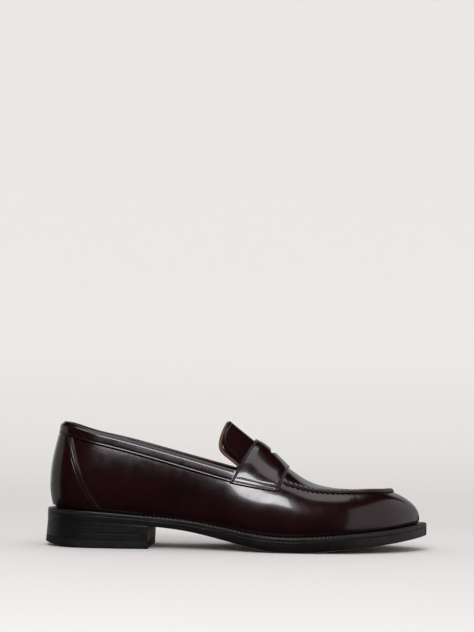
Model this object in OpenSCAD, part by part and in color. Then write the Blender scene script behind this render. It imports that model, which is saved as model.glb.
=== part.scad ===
// Penny loafer, right shoe: toe towards +X, inner (medial) side towards +Y, ground at Z = 0.
// Every layer of the upper is an offset of one surface, the last; soles are cut from side profiles.

/* [Sole] */
// Thickness of the leather welt and of the heel rand, mm
welt_t = 3.2; // [2.8:0.1:3.4]
// Thickness of the insole board, mm
insole_t = 2.5; // [2:0.1:3]
// Thickness of the rubber heel top piece, mm
top_piece_t = 5.8; // [4:0.2:7]
// Width of the steel shank, mm
shank_w = 13; // [10:1:16]
// Thickness of the steel shank, mm
shank_t = 1.2; // [0.8:0.1:1.4]

/* [Upper] */
// Thickness of the outer leather, mm
leather_t = 1.4; // [1.2:0.05:1.5]
// Thickness of the lining leather, mm
lining_t = 1; // [0.8:0.05:1]
// Thickness of the pieces laid over the outer leather, mm
overlay_t = 1.3; // [1:0.05:1.4]
// Height of the collar band along the topline, mm
band_h = 9.5; // [8:0.5:11]
// Free length of the tongue past the strap, mm
tongue_l = 25.5; // [20:0.5:28]

/* [Fastening] */
// Diameter of the heel nails, mm
nail_d = 2; // [1.6:0.1:2.4]
// Diameter of the top piece pins, mm
pin_d = 1.5; // [1.2:0.1:1.8]
// Length of one stitch in a decorative row, mm
stitch_l = 2.4; // [2:0.1:2.8]
// Thickness of the thread, mm
thread_t = 0.6; // [0.4:0.05:0.7]

/* [Hidden] */
// Depth of each layer above the last surface
interlining_d = [1.1, 2.1];
outer_d = [2.2, 2.2 + leather_t];
overlay_d = [outer_d[1] + 0.15, outer_d[1] + 0.15 + overlay_t];
over_d = overlay_d[1] + 0.06;
// Distance the outer leather is turned under the insole
margin_w = 8;

// Side profile of the welt's upper face, then of the outsole's tread: length, height
welt_line = [[-150, 29], [-110, 27.4], [-75, 24.9], [-40, 22], [-10, 17.2], [15, 12.8],
    [40, 11.4], [75, 13.2], [110, 16.4], [150, 21.3]];
tread_line = [[-150, 21], [-110, 19.8], [-75, 17.6], [-40, 14.2], [-10, 8], [14, 2.2],
    [32, 0], [52, 0], [75, 2.2], [110, 6.2], [150, 11.8]];

// Twenty ribs round the shoe from the back of the heel, outer side first:
// sole edge x y, distance from it to the feather edge, top of the wall x y z,
// outward lean at the feather, inward lean at the top
ribs = [
    [-147.6, -0.5, 9.5, -133.75, -0.5, 94, 20, 14],
    [-141.7, -19.3, 7.6, -129.2, -13.5, 92.8, 16, 15],
    [-122, -31.5, 6.6, -112, -21.5, 88.6, 14, 18],
    [-92, -34, 6.2, -84, -24.5, 80.4, 14, 20],
    [-58, -33.5, 5.8, -46, -26.5, 70.4, 16, 22],
    [-22, -38.5, 6.4, -2, -29.5, 58.4, 14, 25],
    [18, -50, 8.2, 33, -34, 49.4, 10, 42],
    [54, -52.4, 8.3, 57, -34, 42.8, 10, 52],
    [92, -46, 9, 86, -30.5, 40.5, 10, 60],
    [127, -27.5, 9.8, 108, -20.5, 41.4, 14, 68],
    [148.7, 6, 11.2, 118.5, 4.5, 41.9, 22, 73.4],
    [135, 35, 9.8, 112, 24.5, 41.6, 14, 68],
    [103, 48, 9, 93, 34, 40.8, 10, 60],
    [62, 52.2, 9, 62, 35.5, 42.8, 10, 52],
    [22, 45, 8, 35, 33, 49.4, 8, 42],
    [-20, 33.5, 6.4, -2, 28, 59.4, 10, 25],
    [-58, 29, 5.8, -46, 25, 70.9, 14, 24],
    [-92, 31, 6.2, -84, 23.5, 80.9, 13, 20],
    [-122, 30, 6.6, -112, 20.5, 88.9, 14, 18],
    [-141.7, 18.3, 7.6, -129.2, 12.5, 93, 16, 15]];
n_ribs = len(ribs);
// Rise, forward shift and shoulder of the instep over the line joining the two walls, from the
// strap's rear edge to the toe
instep = [[21.1, 13.2, 0.2], [9.6, 3.7, 0.23], [4, 0, 0.26], [1.7, 0, 0.28], [1.4, 0, 0.3],
    [0, 0, 0.3]];
// Position on the ribs of the strap's two edges
strap_s = [5, 6];
// Height up the wall at which the strap ends
strap_v = [0.755, 0.775];

// Tongue: crease under the strap's rear edge, slope, width and depth of its arch
crease = [12.1, 83.1];
tongue_a = 38;
tongue_w = 27.5;
tongue_drop = [22.8, 27, 1.8];
tongue_root = 3;

// Smooth curve through four neighbours
function cubic(a, b, c, d, t) = 0.5 * (2 * b + (c - a) * t + (2 * a - 5 * b + 4 * c - d) * t * t
    + (3 * b - a - 3 * c + d) * t * t * t);
function around(tab, s) = let (n = len(tab), k = floor(s), t = s - k)
    cubic(tab[(k - 1 + 2 * n) % n], tab[(k + 2 * n) % n], tab[(k + 1 + 2 * n) % n],
        tab[(k + 2 + 2 * n) % n], t);
function along(tab, s) = let (n = len(tab), k = min(max(floor(s), 0), n - 2), t = s - k)
    cubic(tab[max(k - 1, 0)], tab[k], tab[k + 1], tab[min(k + 2, n - 1)], t);
// Height on a side profile at length x
function height(tab, x, k = 0) = k < len(tab) - 2 && x > tab[k + 1][0] ? height(tab, x, k + 1) :
    let (a = tab[max(k - 1, 0)], b = tab[k], c = tab[k + 1], d = tab[min(k + 2, len(tab) - 1)],
        w = c[0] - b[0], t = (x - b[0]) / w,
        m0 = (c[1] - a[1]) / (c[0] - a[0]) * w, m1 = (d[1] - b[1]) / (d[0] - b[0]) * w)
    (2 * t ^ 3 - 3 * t * t + 1) * b[1] + (t ^ 3 - 2 * t * t + t) * m0
    + (3 * t * t - 2 * t ^ 3) * c[1] + (t ^ 3 - t * t) * m1;
function unit(v) = v / norm(v);

// Sole edge, its outward normal and the feather edge at rib position s
function edge_xy(s) = let (r = around(ribs, s)) [r[0], r[1]];
function edge_n(s) = let (d = edge_xy(s + 0.05) - edge_xy(s - 0.05)) unit([d[1], -d[0]]);
function seat_z(x) = height(welt_line, x) + leather_t + 0.2;
function feather(s, out = 0) = let (r = around(ribs, s), n = edge_n(s),
        p = [r[0], r[1]] - n * (r[2] - out)) [p[0], p[1], seat_z(p[0])];

// Wall of the last: s round the shoe, v from the feather edge to the top
function wall(s, v) = let (r = around(ribs, s), n = edge_n(s), f = feather(s),
        t = [r[3], r[4], r[5]], h = 0.35 * norm(t - f),
        a = f + h * [n[0] * sin(r[6]), n[1] * sin(r[6]), cos(r[6])],
        b = t - h * [-n[0] * sin(r[7]), -n[1] * sin(r[7]), cos(r[7])], u = 1 - v)
    u ^ 3 * f + 3 * u * u * v * a + 3 * u * v * v * b + v ^ 3 * t;
function wall_n(s, v) = unit(cross(wall(s + 0.04, v) - wall(s - 0.04, v),
    wall(s, min(v + 0.02, 1)) - wall(s, v > 0.98 ? 0.96 : v)));
function wall_at(s, v, d) = wall(s, v) + d * wall_n(s, v);
// Instep of the last between the two walls: w from the outer wall to the inner one
function arch(s, w) = let (c = along(instep, s - 5), p = wall(s, 1), q = wall(n_ribs - s, 1),
        lift = [c[1], 0, c[0]] * 4 / 3, a = p + (q - p) * c[2] + lift,
        b = q + (p - q) * c[2] + lift, u = 1 - w)
    u ^ 3 * p + 3 * u * u * w * a + 3 * u * w * w * b + w ^ 3 * q;
function arch_n(s, w) = unit(cross(arch(s + 0.04, w) - arch(s - 0.04, w),
    arch(s, min(w + 0.02, 1)) - arch(s, max(w - 0.02, 0))));
function arch_at(s, w, d) = arch(s, w) + d * arch_n(s, w);

function spread(a, b, n) = [for (i = [0:n]) a + (b - a) * i / n];
// Every layer of the wall is cut on the same ribs and at the same heights, so layers never cross
function columns(a, b) = spread(a, b, round((b - a) * 4));
rows = [0.07, 0.16, 0.3, 0.45, 0.6, 0.75, 0.88];

// Solid between two grids of points; columns run round the shoe, rows up it
module shell(top, bottom, closed = false) {
    n = len(top);
    m = len(top[0]);
    last = closed ? n - 1 : n - 2;
    pts = concat([for (c = top) for (p = c) p], [for (c = bottom) for (p = c) p]);
    function at(k, i, j) = k * n * m + (i % n) * m + j;
    quads = concat(
        [for (i = [0:last]) for (j = [0:m - 2])
            [at(0, i, j), at(0, i, j + 1), at(0, i + 1, j + 1), at(0, i + 1, j)]],
        [for (i = [0:last]) for (j = [0:m - 2])
            [at(1, i, j), at(1, i + 1, j), at(1, i + 1, j + 1), at(1, i, j + 1)]],
        [for (i = [0:last]) [at(0, i, 0), at(0, i + 1, 0), at(1, i + 1, 0), at(1, i, 0)]],
        [for (i = [0:last]) [at(0, i + 1, m - 1), at(0, i, m - 1), at(1, i, m - 1),
            at(1, i + 1, m - 1)]],
        closed ? [] : [for (j = [0:m - 2]) [at(0, 0, j + 1), at(0, 0, j), at(1, 0, j),
            at(1, 0, j + 1)]],
        closed ? [] : [for (j = [0:m - 2]) [at(0, n - 1, j), at(0, n - 1, j + 1),
            at(1, n - 1, j + 1), at(1, n - 1, j)]]);
    polyhedron(pts, [for (q = quads) each [[q[0], q[1], q[2]], [q[0], q[2], q[3]]]]);
}
// Layer on the wall between depths d, for rib positions ss and heights vv
module wall_layer(ss, vv, d, closed = false) {
    shell([for (s = ss) [for (v = vv) wall_at(s, v, d[1])]],
        [for (s = ss) [for (v = vv) wall_at(s, v, d[0])]], closed);
}
module arch_layer(ss, ww, d) {
    shell([for (s = ss) [for (w = ww) arch_at(s, w, d[1])]],
        [for (s = ss) [for (w = ww) arch_at(s, w, d[0])]]);
}
function band_v(s) = 1 - band_h / norm(wall(s, 1) - wall(s, 0));

// Sole outline at a distance inside the edge, or inside the feather edge
module sole_outline(inset) {
    polygon([for (s = spread(0, n_ribs - 0.25, 79)) edge_xy(s) - inset * edge_n(s)]);
}
module feather_outline(inset) {
    polygon([for (s = spread(0, n_ribs - 0.25, 79)) let (f = feather(s, -inset)) [f[0], f[1]]]);
}
// Slab between two side profiles
module slab(low, high, x0 = -155, x1 = 155, n = 44) {
    xs = spread(x0, x1, n);
    translate([0, 70, 0])
        rotate([90, 0, 0])
            linear_extrude(140)
                polygon(concat([for (x = xs) [x, low(x)]],
                    [for (k = [n:-1:0]) [xs[k], high(xs[k])]]));
}
module cut_slab(low, high, x0 = -155, x1 = 155, n = 44) {
    intersection() {
        slab(low, high, x0, x1, n);
        translate([0, 0, -10])
            linear_extrude(80)
                children();
    }
}
tread_z = function (x) height(tread_line, x);
outsole_top = function (x) height(welt_line, x) - welt_t - 0.02;
breast_x = -68;

module box_at(p, dir, up, size) {
    x = unit(dir);
    y = unit(cross(up, x));
    z = cross(x, y);
    multmatrix([[x[0], y[0], z[0], p[0]], [x[1], y[1], z[1], p[1]], [x[2], y[2], z[2], p[2]]])
        translate([-size[0] / 2, -size[1] / 2, 0])
            cube(size);
}
module wall_stitch(s, v, d, l = stitch_l, t = thread_t) {
    box_at(wall_at(s, v, d), wall(s + 0.02, v) - wall(s - 0.02, v), wall_n(s, v), [l, t, t]);
}
module arch_stitch(s, w, d, l = stitch_l, t = thread_t) {
    box_at(arch_at(s, w, d), arch(s, min(w + 0.02, 1)) - arch(s, max(w - 0.02, 0)),
        arch_n(s, w), [l, t, t]);
}

// ---- upper ----
module skirt() {
    ss = columns(0, n_ribs - 0.25);
    vv = concat(rows, 1);
    // The bottom is turned under the insole and skived thin
    function under(s, out, drop) = let (f = feather(s), n = edge_n(s), x = f[0] + out * n[0])
        [x, f[1] + out * n[1], seat_z(x) - drop];
    color("#3a1418")
        shell([for (s = ss) concat([under(s, -margin_w, leather_t),
                under(s, outer_d[0] + 0.2, leather_t), under(s, outer_d[1] - 0.1, leather_t / 2)],
                [for (v = vv) wall_at(s, v, outer_d[1])])],
            [for (s = ss) concat([under(s, -margin_w, 0.25), under(s, outer_d[0] - 0.2, 0.25),
                under(s, outer_d[0], -0.3)],
                [for (v = vv) wall_at(s, v, outer_d[0])])], true);
}
apron_cols = concat(spread(5.55, 9, 14), [9.2, 9.4, 9.53, 9.62]);
module apron() {
    color("#45181c")
        arch_layer(apron_cols, spread(0.02, 0.98, 10), outer_d);
}
module saddle_strap() {
    ss = spread(strap_s[0], strap_s[1], 6);
    function low(s) = strap_v[0] + (strap_v[1] - strap_v[0]) * (s - strap_s[0]);
    // Down the walls the strap leans back a little
    function slant(s, v) = s - 0.1 * (1 - v);
    function join_n(s, w) = unit(arch_n(s, w) + wall_n(w == 0 ? s : n_ribs - s, 1));
    function rib(s, d) = concat(
        [for (v = spread(low(s), 1, 4)) if (v < 0.99) wall_at(slant(s, v), v, d)],
        [wall(s, 1) + d * join_n(s, 0) * 1.02],
        [for (w = spread(0, 1, 12)) if (w > 0.01 && w < 0.99) arch_at(s, w, d)],
        [wall(n_ribs - s, 1) + d * join_n(s, 1) * 1.02],
        [for (v = spread(1, low(s), 4)) if (v < 0.99) wall_at(n_ribs - slant(s, v), v, d)]);
    color("#3a1418")
        difference() {
            shell([for (s = ss) rib(s, overlay_d[1] + 0.2)], [for (s = ss) rib(s, overlay_d[0])]);
            // Coin slot, a long diamond across the strap
            translate([25.6, 0.3, 60])
                linear_extrude(40)
                    polygon([[-2.6, 0], [-1.2, 7], [0, 11.5], [1.2, 7], [2.6, 0], [1.2, -7],
                        [0, -11.5], [-1.2, -7]]);
        }
}
module collar_band() {
    ss = spread(15.04, 24.96, 40);
    color("#331115")
        shell([for (s = ss) [for (k = [0:3]) wall_at(s, 1 - (1 - band_v(s)) * (1 - k / 3),
                overlay_d[1])]],
            [for (s = ss) [for (k = [0:3]) wall_at(s, 1 - (1 - band_v(s)) * (1 - k / 3),
                overlay_d[0])]]);
}
// Half width of the counter cover in ribs: it reaches further forward at the sole than at the band
function counter_front(v) = 1.2 + 1.49 * (1 - v) ^ 1.1;
module counter_cover() {
    function at(k, r, d) = let (v = 0.1 + (band_v(20) - 0.012 - 0.1) * r) wall_at(20 + counter_front(v)
        * (k / 12 - 1), v, d);
    color("#3a1418")
        shell([for (k = [0:24]) [for (r = spread(0, 1, 7)) at(k, r, overlay_d[1])]],
            [for (k = [0:24]) [for (r = spread(0, 1, 7)) at(k, r, overlay_d[0])]]);
}
// The tongue's slope, its arch across, and a strip of that arch cut to the outline
function sag(y) = tongue_drop[0] * pow(abs(y) / tongue_drop[1], tongue_drop[2]);
module tongue_frame() {
    translate([crease[0], 0, crease[1]])
        rotate([0, tongue_a - 90, 0])
            children();
}
module tongue_strip(depth, thick, side, root, tip) {
    ys = spread(-tongue_w, tongue_w, 28);
    outline = [[root, -side + 8.5], [0, -side + 4], [-3, -side + 0.5], [-10, -side], [-15, -side + 1.2],
        [-tip + 5.7, -side + 3], [-tip + 3, -side + 6.5], [-tip + 1, -side + 11], [-tip, -side + 16]];
    tongue_frame()
        intersection() {
            translate([0, 0, -root])
                linear_extrude(root + tip)
                    polygon(concat([for (y = ys) [-depth - sag(y), y]],
                        [for (k = [len(ys) - 1:-1:0]) [-depth - thick - sag(ys[k]), ys[k]]]));
            translate([-50, 0, 0])
                rotate([0, 90, 0])
                    linear_extrude(60)
                        polygon(concat(outline, [for (k = [len(outline) - 1:-1:0])
                            [outline[k][0], -outline[k][1]]]));
        }
}
module tongue() {
    color("#3d1519")
        tongue_strip(0, leather_t, 26.5, tongue_root, tongue_l);
}
module tongue_lining() {
    color("#8a5a3c")
        tongue_strip(leather_t + 0.05, lining_t, 25.9, tongue_root, tongue_l - 0.5);
}
module quarter_lining() {
    color("#6b2f2a")
        wall_layer(concat(14.6, columns(14.75, 25.25), 25.4), concat(rows, 1), [0, lining_t]);
}
module vamp_lining() {
    color("#7a4a38")
        wall_layer(concat(5.45, columns(5.5, 14.5), 14.55), concat(rows, 1), [0, lining_t]);
}
module apron_lining() {
    color("#7a4a38")
        arch_layer(apron_cols, spread(0.02, 0.98, 10), interlining_d);
}
module interlining() {
    color("#d8d2c0") {
        wall_layer(columns(2.75, 8.25), concat(rows, 0.96), interlining_d);
        wall_layer(columns(11.75, 17.25), concat(rows, 0.96), interlining_d);
    }
}
module counter_stiffener() {
    color("#b79b6c")
        wall_layer(columns(17.5, 22.5), rows, interlining_d);
}
module toe_puff() {
    color("#b79b6c")
        wall_layer(columns(8.5, 11.5), rows, interlining_d);
}
module heel_grip() {
    color("#8a5a3c")
        wall_layer(columns(18.5, 21.5), [0.3, 0.45, 0.6, 0.75, 0.88, 0.97], [-0.95, -0.15]);
}

// ---- inside and bottom ----
module sock_liner() {
    low = function (x) seat_z(x) + insole_t + 0.1 + 2.1 * pad_rise(x);
    high = function (x) low(x) + 0.9;
    color("#8a5a3c")
        cut_slab(low, high)
            feather_outline(0.9);
}
function pad_rise(x) = x > -62 ? 0 : x < -80 ? 1 : (-62 - x) / 18;
module heel_pad() {
    low = function (x) seat_z(x) + insole_t + 0.05;
    high = function (x) low(x) + 0.05 + 1.85 * pad_rise(x);
    color("#e0c26a")
        cut_slab(low, high, -155, -62)
            feather_outline(5);
}
module insole() {
    low = function (x) seat_z(x);
    high = function (x) seat_z(x) + insole_t;
    color("#c49a6a")
        cut_slab(low, high)
            feather_outline(0.3);
}
module insole_rib() {
    low = function (x) height(welt_line, x) - welt_t + 0.1;
    high = function (x) seat_z(x) - 0.05;
    color("#e8e0cc")
        difference() {
            cut_slab(low, high)
                feather_outline(margin_w + 0.4);
            translate([0, 0, -10])
                linear_extrude(90)
                    feather_outline(margin_w + 1.6);
        }
}
module shank_slab(gap) {
    low = function (x) height(welt_line, x) - welt_t + 1.5 - gap;
    high = function (x) height(welt_line, x) - welt_t + 1.5 + shank_t + gap;
    cut_slab(low, high)
        translate([-50, -0.5])
            square([92 + 2 * gap, shank_w + 2 * gap], center = true);
}
module cork_filler() {
    low = function (x) height(welt_line, x) - welt_t + 0.05;
    high = function (x) seat_z(x) - 0.1;
    color("#a87b4f")
        difference() {
            cut_slab(low, high)
                feather_outline(margin_w + 1.8);
            shank_slab(0.1);
        }
}
module shank() {
    color("#9aa0a6")
        shank_slab(0);
}
module welt_ring() {
    low = function (x) height(welt_line, x) - welt_t;
    high = function (x) height(welt_line, x);
    difference() {
        cut_slab(low, high)
            sole_outline(0.4);
        translate([0, 0, -10])
            linear_extrude(90)
                feather_outline(margin_w + 0.2);
    }
}
module welt() {
    color("#241012")
        intersection() {
            welt_ring();
            translate([-70.9, -80, 0])
                cube([240, 160, 60]);
        }
}
module heel_rand() {
    color("#241012")
        intersection() {
            welt_ring();
            translate([-170, -80, 0])
                cube([99, 160, 60]);
        }
}
module outsole() {
    color("#2a1314")
        difference() {
            cut_slab(tread_z, outsole_top)
                sole_outline(0);
            nail_holes(0.02);
        }
}
// Behind heel_bend the heel turns up a little; away from the ground the layers follow it less
function heel_rise(x) = max(heel_bend - x, 0) * 0.126;
// Layer of the heel block between two heights, the sole outline cut across at the breast
module heel_layer(z0, z1, rise0, rise1, inset) {
    back = -155;
    intersection() {
        translate([0, 70, 0])
            rotate([90, 0, 0])
                linear_extrude(140)
                    polygon([[back, z0 + rise0 * heel_rise(back)], [heel_bend, z0], [-50, z0], [-50, z1],
                        [heel_bend, z1], [back, z1 + rise1 * heel_rise(back)]]);
        translate([0, 0, -10])
            linear_extrude(60)
                breast_cut()
                    sole_outline(inset);
    }
}
module breast_cut() {
    intersection() {
        children();
        polygon([[-170, -50], [breast_x - 0.8, -50], [breast_x + 3.8, 50], [-170, 50]]);
    }
}
module nail_row(z0, z1, d) {
    for (p = [[-130, 0], [-120, 15], [-120, -15], [-92, 17], [-92, -17]])
        let (low = z0 + heel_rise(p[0]))
            translate([p[0], p[1], low])
                cylinder(h = z1 - low, d = d, $fn = 48);
}
module pin_row(z0, z1, d) {
    for (p = [[-138, 0], [-132, 16], [-132, -16], [-110, 24], [-110, -24.5], [-82, 22.5],
        [-82, -25]])
        translate([p[0], p[1], z0 + heel_rise(p[0])])
            cylinder(h = z1 - z0, d = d, $fn = 48);
}
module nail_holes(gap) {
    nail_row(-5, nail_top + 0.1, nail_d + 2 * gap);
}
module pin_holes(gap) {
    pin_row(-1, 10.3, pin_d + 2 * gap);
}
// Where the heel starts to turn up, the top of its straight lifts, the height of one lift, and
// how far up the nails reach: through the outsole, short of the cork
heel_bend = -125;
heel_top = 16.2;
lift_h = (heel_top - top_piece_t) / 2;
nail_top = 22.8;
module wedge_lift() {
    low = function (x) heel_top + 0.02 + 0.3 * heel_rise(x);
    high = function (x) height(tread_line, x) - 0.02;
    color("#2a1314")
        difference() {
            cut_slab(low, high, -155, -50, 21)
                breast_cut()
                    sole_outline(0.1);
            nail_holes(0.02);
        }
}
module heel_lift_upper() {
    color("#2a1314")
        difference() {
            heel_layer(top_piece_t + lift_h + 0.02, heel_top, 0.65, 0.3, -0.2);
            nail_holes(0.02);
        }
}
module heel_lift_lower() {
    color("#2a1314")
        difference() {
            heel_layer(top_piece_t + 0.02, top_piece_t + lift_h, 1, 0.65, -0.5);
            nail_holes(0.02);
            pin_holes(0.02);
        }
}
module heel_top_piece() {
    color("#1a1818")
        difference() {
            heel_layer(0, top_piece_t, 1, 1, -0.9);
            pin_holes(0.02);
        }
}
module heel_nail() {
    color("#a8a8a4")
        nail_row(top_piece_t + 0.1, nail_top, nail_d);
}
module top_piece_pin() {
    color("#b8923c")
        pin_row(0.3, 10, pin_d);
}

// ---- threads ----
module moc_thread() {
    color("#1a0a0c")
        for (s = spread(6.12, 13.88, 50))
            let (a = s > 10 ? n_ribs - s : s, n = unit(wall_n(s, 1)
                + arch_n(min(a, 9.9), s > 10 ? 1 : 0)))
                box_at(wall(s, 1) + (outer_d[1] + 0.25) * n, wall(s + 0.03, 1) - wall(s - 0.03, 1),
                    n, [3, 1.4, 1.1]);
}
module strap_thread() {
    color("#1a0a0c") {
        for (r = [0.03, 0.1], s = spread(5.14, 5.86, 5), side = [0, 1])
            let (v = strap_v[0] + (strap_v[1] - strap_v[0]) * (s - 5) + r)
                wall_stitch(side == 0 ? s : n_ribs - s, v, over_d + 0.25);
        for (s = [5.09, 5.91], w = spread(0.1, 0.9, 13))
            arch_stitch(s, w, over_d + 0.25);
    }
}
module collar_thread() {
    color("#1a0a0c")
        for (s = spread(15.2, 24.8, 60))
            wall_stitch(s, band_v(s) + 0.035, over_d);
}
module counter_thread() {
    color("#1a0a0c")
        for (k = [0, 1], v = spread(0.16, 0.76, 9), side = [-1, 1])
            let (s = 20 + side * (counter_front(v) - 0.09 - 0.09 * k))
                box_at(wall_at(s, v, over_d), wall(s, v + 0.02) - wall(s, v - 0.02),
                    wall_n(s, v), [stitch_l, thread_t, thread_t]);
}
module welt_thread() {
    color("#8a5a3c")
        for (s = spread(4.1, 15.9, 90))
            let (n = edge_n(s), p = edge_xy(s)
                    - min(2.6, around(ribs, s)[2] - outer_d[1] - 0.9) * n,
                    rise = height(welt_line, p[0] + 1) - height(welt_line, p[0]))
                box_at([p[0], p[1], height(welt_line, p[0]) + 0.2],
                    [-n[1], n[0], -n[1] * rise], [0, 0, 1], [stitch_l, thread_t, thread_t]);
}
module tongue_thread() {
    color("#1a0a0c")
        tongue_frame()
            for (y = spread(-18, 18, 8))
                let (fall = sag(y + 0.5) - sag(y - 0.5), up = unit([1, fall, 0]),
                    p = [-sag(y), y, tongue_l - 4 - (abs(y) > 14 ? 4 : 0)])
                    box_at(p + 0.25 * up, [-fall, 1, 0], up, [stitch_l, thread_t, thread_t]);
}

skirt();
apron();
saddle_strap();
collar_band();
counter_cover();
tongue();
tongue_lining();
quarter_lining();
vamp_lining();
apron_lining();
interlining();
counter_stiffener();
toe_puff();
heel_grip();
sock_liner();
heel_pad();
insole();
insole_rib();
cork_filler();
shank();
welt();
heel_rand();
outsole();
wedge_lift();
heel_lift_upper();
heel_lift_lower();
heel_top_piece();
heel_nail();
top_piece_pin();
moc_thread();
strap_thread();
collar_thread();
counter_thread();
welt_thread();
tongue_thread();
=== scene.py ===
"""Penny loafer: its looks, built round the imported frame.

The upper is laid on the same last as the CAD part: ribs round the shoe carry the feather edge and the
top of the wall, and an instep joins the two walls. Shape helpers work in millimetres; meshes are made
in metres.
"""

import math

import bpy
import numpy as np
from mathutils import Matrix, Vector


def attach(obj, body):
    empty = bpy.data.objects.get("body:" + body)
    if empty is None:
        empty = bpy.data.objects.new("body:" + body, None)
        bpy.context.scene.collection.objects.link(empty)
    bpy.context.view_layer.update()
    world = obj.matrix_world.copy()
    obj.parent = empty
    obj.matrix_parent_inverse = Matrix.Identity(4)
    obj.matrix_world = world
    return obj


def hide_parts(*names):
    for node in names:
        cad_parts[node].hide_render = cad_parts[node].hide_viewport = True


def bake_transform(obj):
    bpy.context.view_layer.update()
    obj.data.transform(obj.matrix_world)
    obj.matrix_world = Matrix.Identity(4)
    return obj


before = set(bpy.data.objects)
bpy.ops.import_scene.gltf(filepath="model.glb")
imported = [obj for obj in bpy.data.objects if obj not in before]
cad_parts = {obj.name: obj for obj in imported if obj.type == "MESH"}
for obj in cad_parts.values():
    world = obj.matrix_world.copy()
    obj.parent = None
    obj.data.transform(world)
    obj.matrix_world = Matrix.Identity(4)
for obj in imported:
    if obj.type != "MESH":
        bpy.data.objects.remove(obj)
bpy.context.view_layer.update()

MM = 0.001
RNG = np.random.default_rng(7)

# ---------------------------------------------------------------- the last

# Side profiles: length, height of the welt's upper face and of the tread
WELT_LINE = np.array([(-150, 29), (-110, 27.4), (-75, 24.9), (-40, 22), (-10, 17.2), (15, 12.8),
                      (40, 11.4), (75, 13.2), (110, 16.4), (150, 21.3)])
TREAD_LINE = np.array([(-150, 21), (-110, 19.8), (-75, 17.6), (-40, 14.2), (-10, 8), (14, 2.2),
                       (32, 0), (52, 0), (75, 2.2), (110, 6.2), (150, 11.8)])
# Ribs from the back of the heel, outer side first: sole edge x y, distance to the feather edge,
# top of the wall x y z, lean at the feather and at the top in degrees
RIBS = np.array([
    [-147.6, -0.5, 9.5, -133.75, -0.5, 94, 20, 14],
    [-141.7, -19.3, 7.6, -129.2, -13.5, 92.8, 16, 15],
    [-122, -31.5, 6.6, -112, -21.5, 87.2, 14, 18],
    [-92, -34, 6.2, -84, -24.5, 80.4, 14, 20],
    [-58, -33.5, 5.8, -46, -26.5, 70.4, 16, 22],
    [-22, -38.5, 6.4, -2, -29.5, 58.4, 14, 25],
    [18, -50, 8.2, 33, -34, 49.4, 10, 42],
    [54, -52.4, 8.3, 57, -34, 42.8, 10, 52],
    [92, -46, 9, 86, -30.5, 40.5, 10, 60],
    [127, -27.5, 9.8, 108, -20.5, 41.4, 14, 68],
    [148.7, 6, 10.0, 118.5, 4.5, 41.9, 24, 73.4],
    [135, 35, 9.8, 112, 24.5, 41.6, 14, 68],
    [103, 48, 9, 93, 34, 40.8, 10, 60],
    [62, 52.2, 9, 62, 35.5, 42.8, 10, 52],
    [22, 45, 8, 35, 33, 49.4, 8, 42],
    [-20, 33.5, 6.4, -2, 28, 59.4, 10, 25],
    [-58, 29, 5.8, -46, 25, 70.9, 14, 24],
    [-92, 31, 6.2, -84, 23.5, 80.9, 13, 20],
    [-122, 30, 6.6, -112, 20.5, 87.2, 14, 18],
    [-141.7, 18.3, 7.6, -129.2, 12.5, 93, 16, 15]])
INSTEP = np.array([[21.1, 13.2, 0.2], [9.6, 3.7, 0.23], [4, 0, 0.26], [1.7, 0, 0.28],
                   [1.4, 0, 0.3], [0, 0, 0.3]])
N_RIBS = len(RIBS)
TOE = N_RIBS / 2
STRAP_BACK, STRAP_FRONT = 5.0, 6.0

# Thickness of the upper leather, the welt and a skived overlay
LEATHER, WELT_T, OVERLAY_T = 1.4, 3.2, 1.105
# Depths over the last: outer face of the upper leather, and underside of what is sewn on it
OUTER = 2.2 + LEATHER
OVER = OUTER + 0.1
# Height of the collar band
BAND_H = 9.5


def spread(*values):
    """The values as arrays of one shape."""
    return np.broadcast_arrays(*(np.asarray(v, float) for v in values))


def unit(v):
    return v / np.maximum(np.linalg.norm(v, axis=-1, keepdims=True), 1e-9)


def cubic(a, b, c, d, t):
    return 0.5 * (2 * b + (c - a) * t + (2 * a - 5 * b + 4 * c - d) * t * t
                  + (3 * b - a - 3 * c + d) * t ** 3)


def rib(s):
    s = np.asarray(s, float)
    k = np.floor(s).astype(int)
    return cubic(*(RIBS[(k + o) % N_RIBS] for o in (-1, 0, 1, 2)), (s - k)[..., None])


def instep_at(s):
    s = np.asarray(s, float) - STRAP_BACK
    last = len(INSTEP) - 1
    k = np.clip(np.floor(s).astype(int), 0, last - 1)
    return cubic(*(INSTEP[np.clip(k + o, 0, last)] for o in (-1, 0, 1, 2)), (s - k)[..., None])


def height(line, x):
    x = np.asarray(x, float)
    k = np.clip(np.searchsorted(line[:, 0], x) - 1, 0, len(line) - 2)
    a, b, c, d = (line[np.clip(k + o, 0, len(line) - 1)] for o in (-1, 0, 1, 2))
    w = c[..., 0] - b[..., 0]
    t = (x - b[..., 0]) / w
    m0 = (c[..., 1] - a[..., 1]) / (c[..., 0] - a[..., 0]) * w
    m1 = (d[..., 1] - b[..., 1]) / (d[..., 0] - b[..., 0]) * w
    return ((2 * t ** 3 - 3 * t * t + 1) * b[..., 1] + (t ** 3 - 2 * t * t + t) * m0
            + (3 * t * t - 2 * t ** 3) * c[..., 1] + (t ** 3 - t * t) * m1)


def edge_xy(s):
    return rib(s)[..., :2]


def edge_n(s):
    s = np.asarray(s, float)
    d = edge_xy(s + 0.05) - edge_xy(s - 0.05)
    return unit(np.stack([d[..., 1], -d[..., 0]], -1))


def with_z(xy, z):
    return np.concatenate([xy, np.asarray(z)[..., None]], -1)


def seat_z(x):
    return height(WELT_LINE, x) + LEATHER + 0.2


def feather(s):
    r = rib(s)
    p = r[..., :2] - edge_n(s) * r[..., 2:3]
    return with_z(p, seat_z(p[..., 0]))


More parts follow.
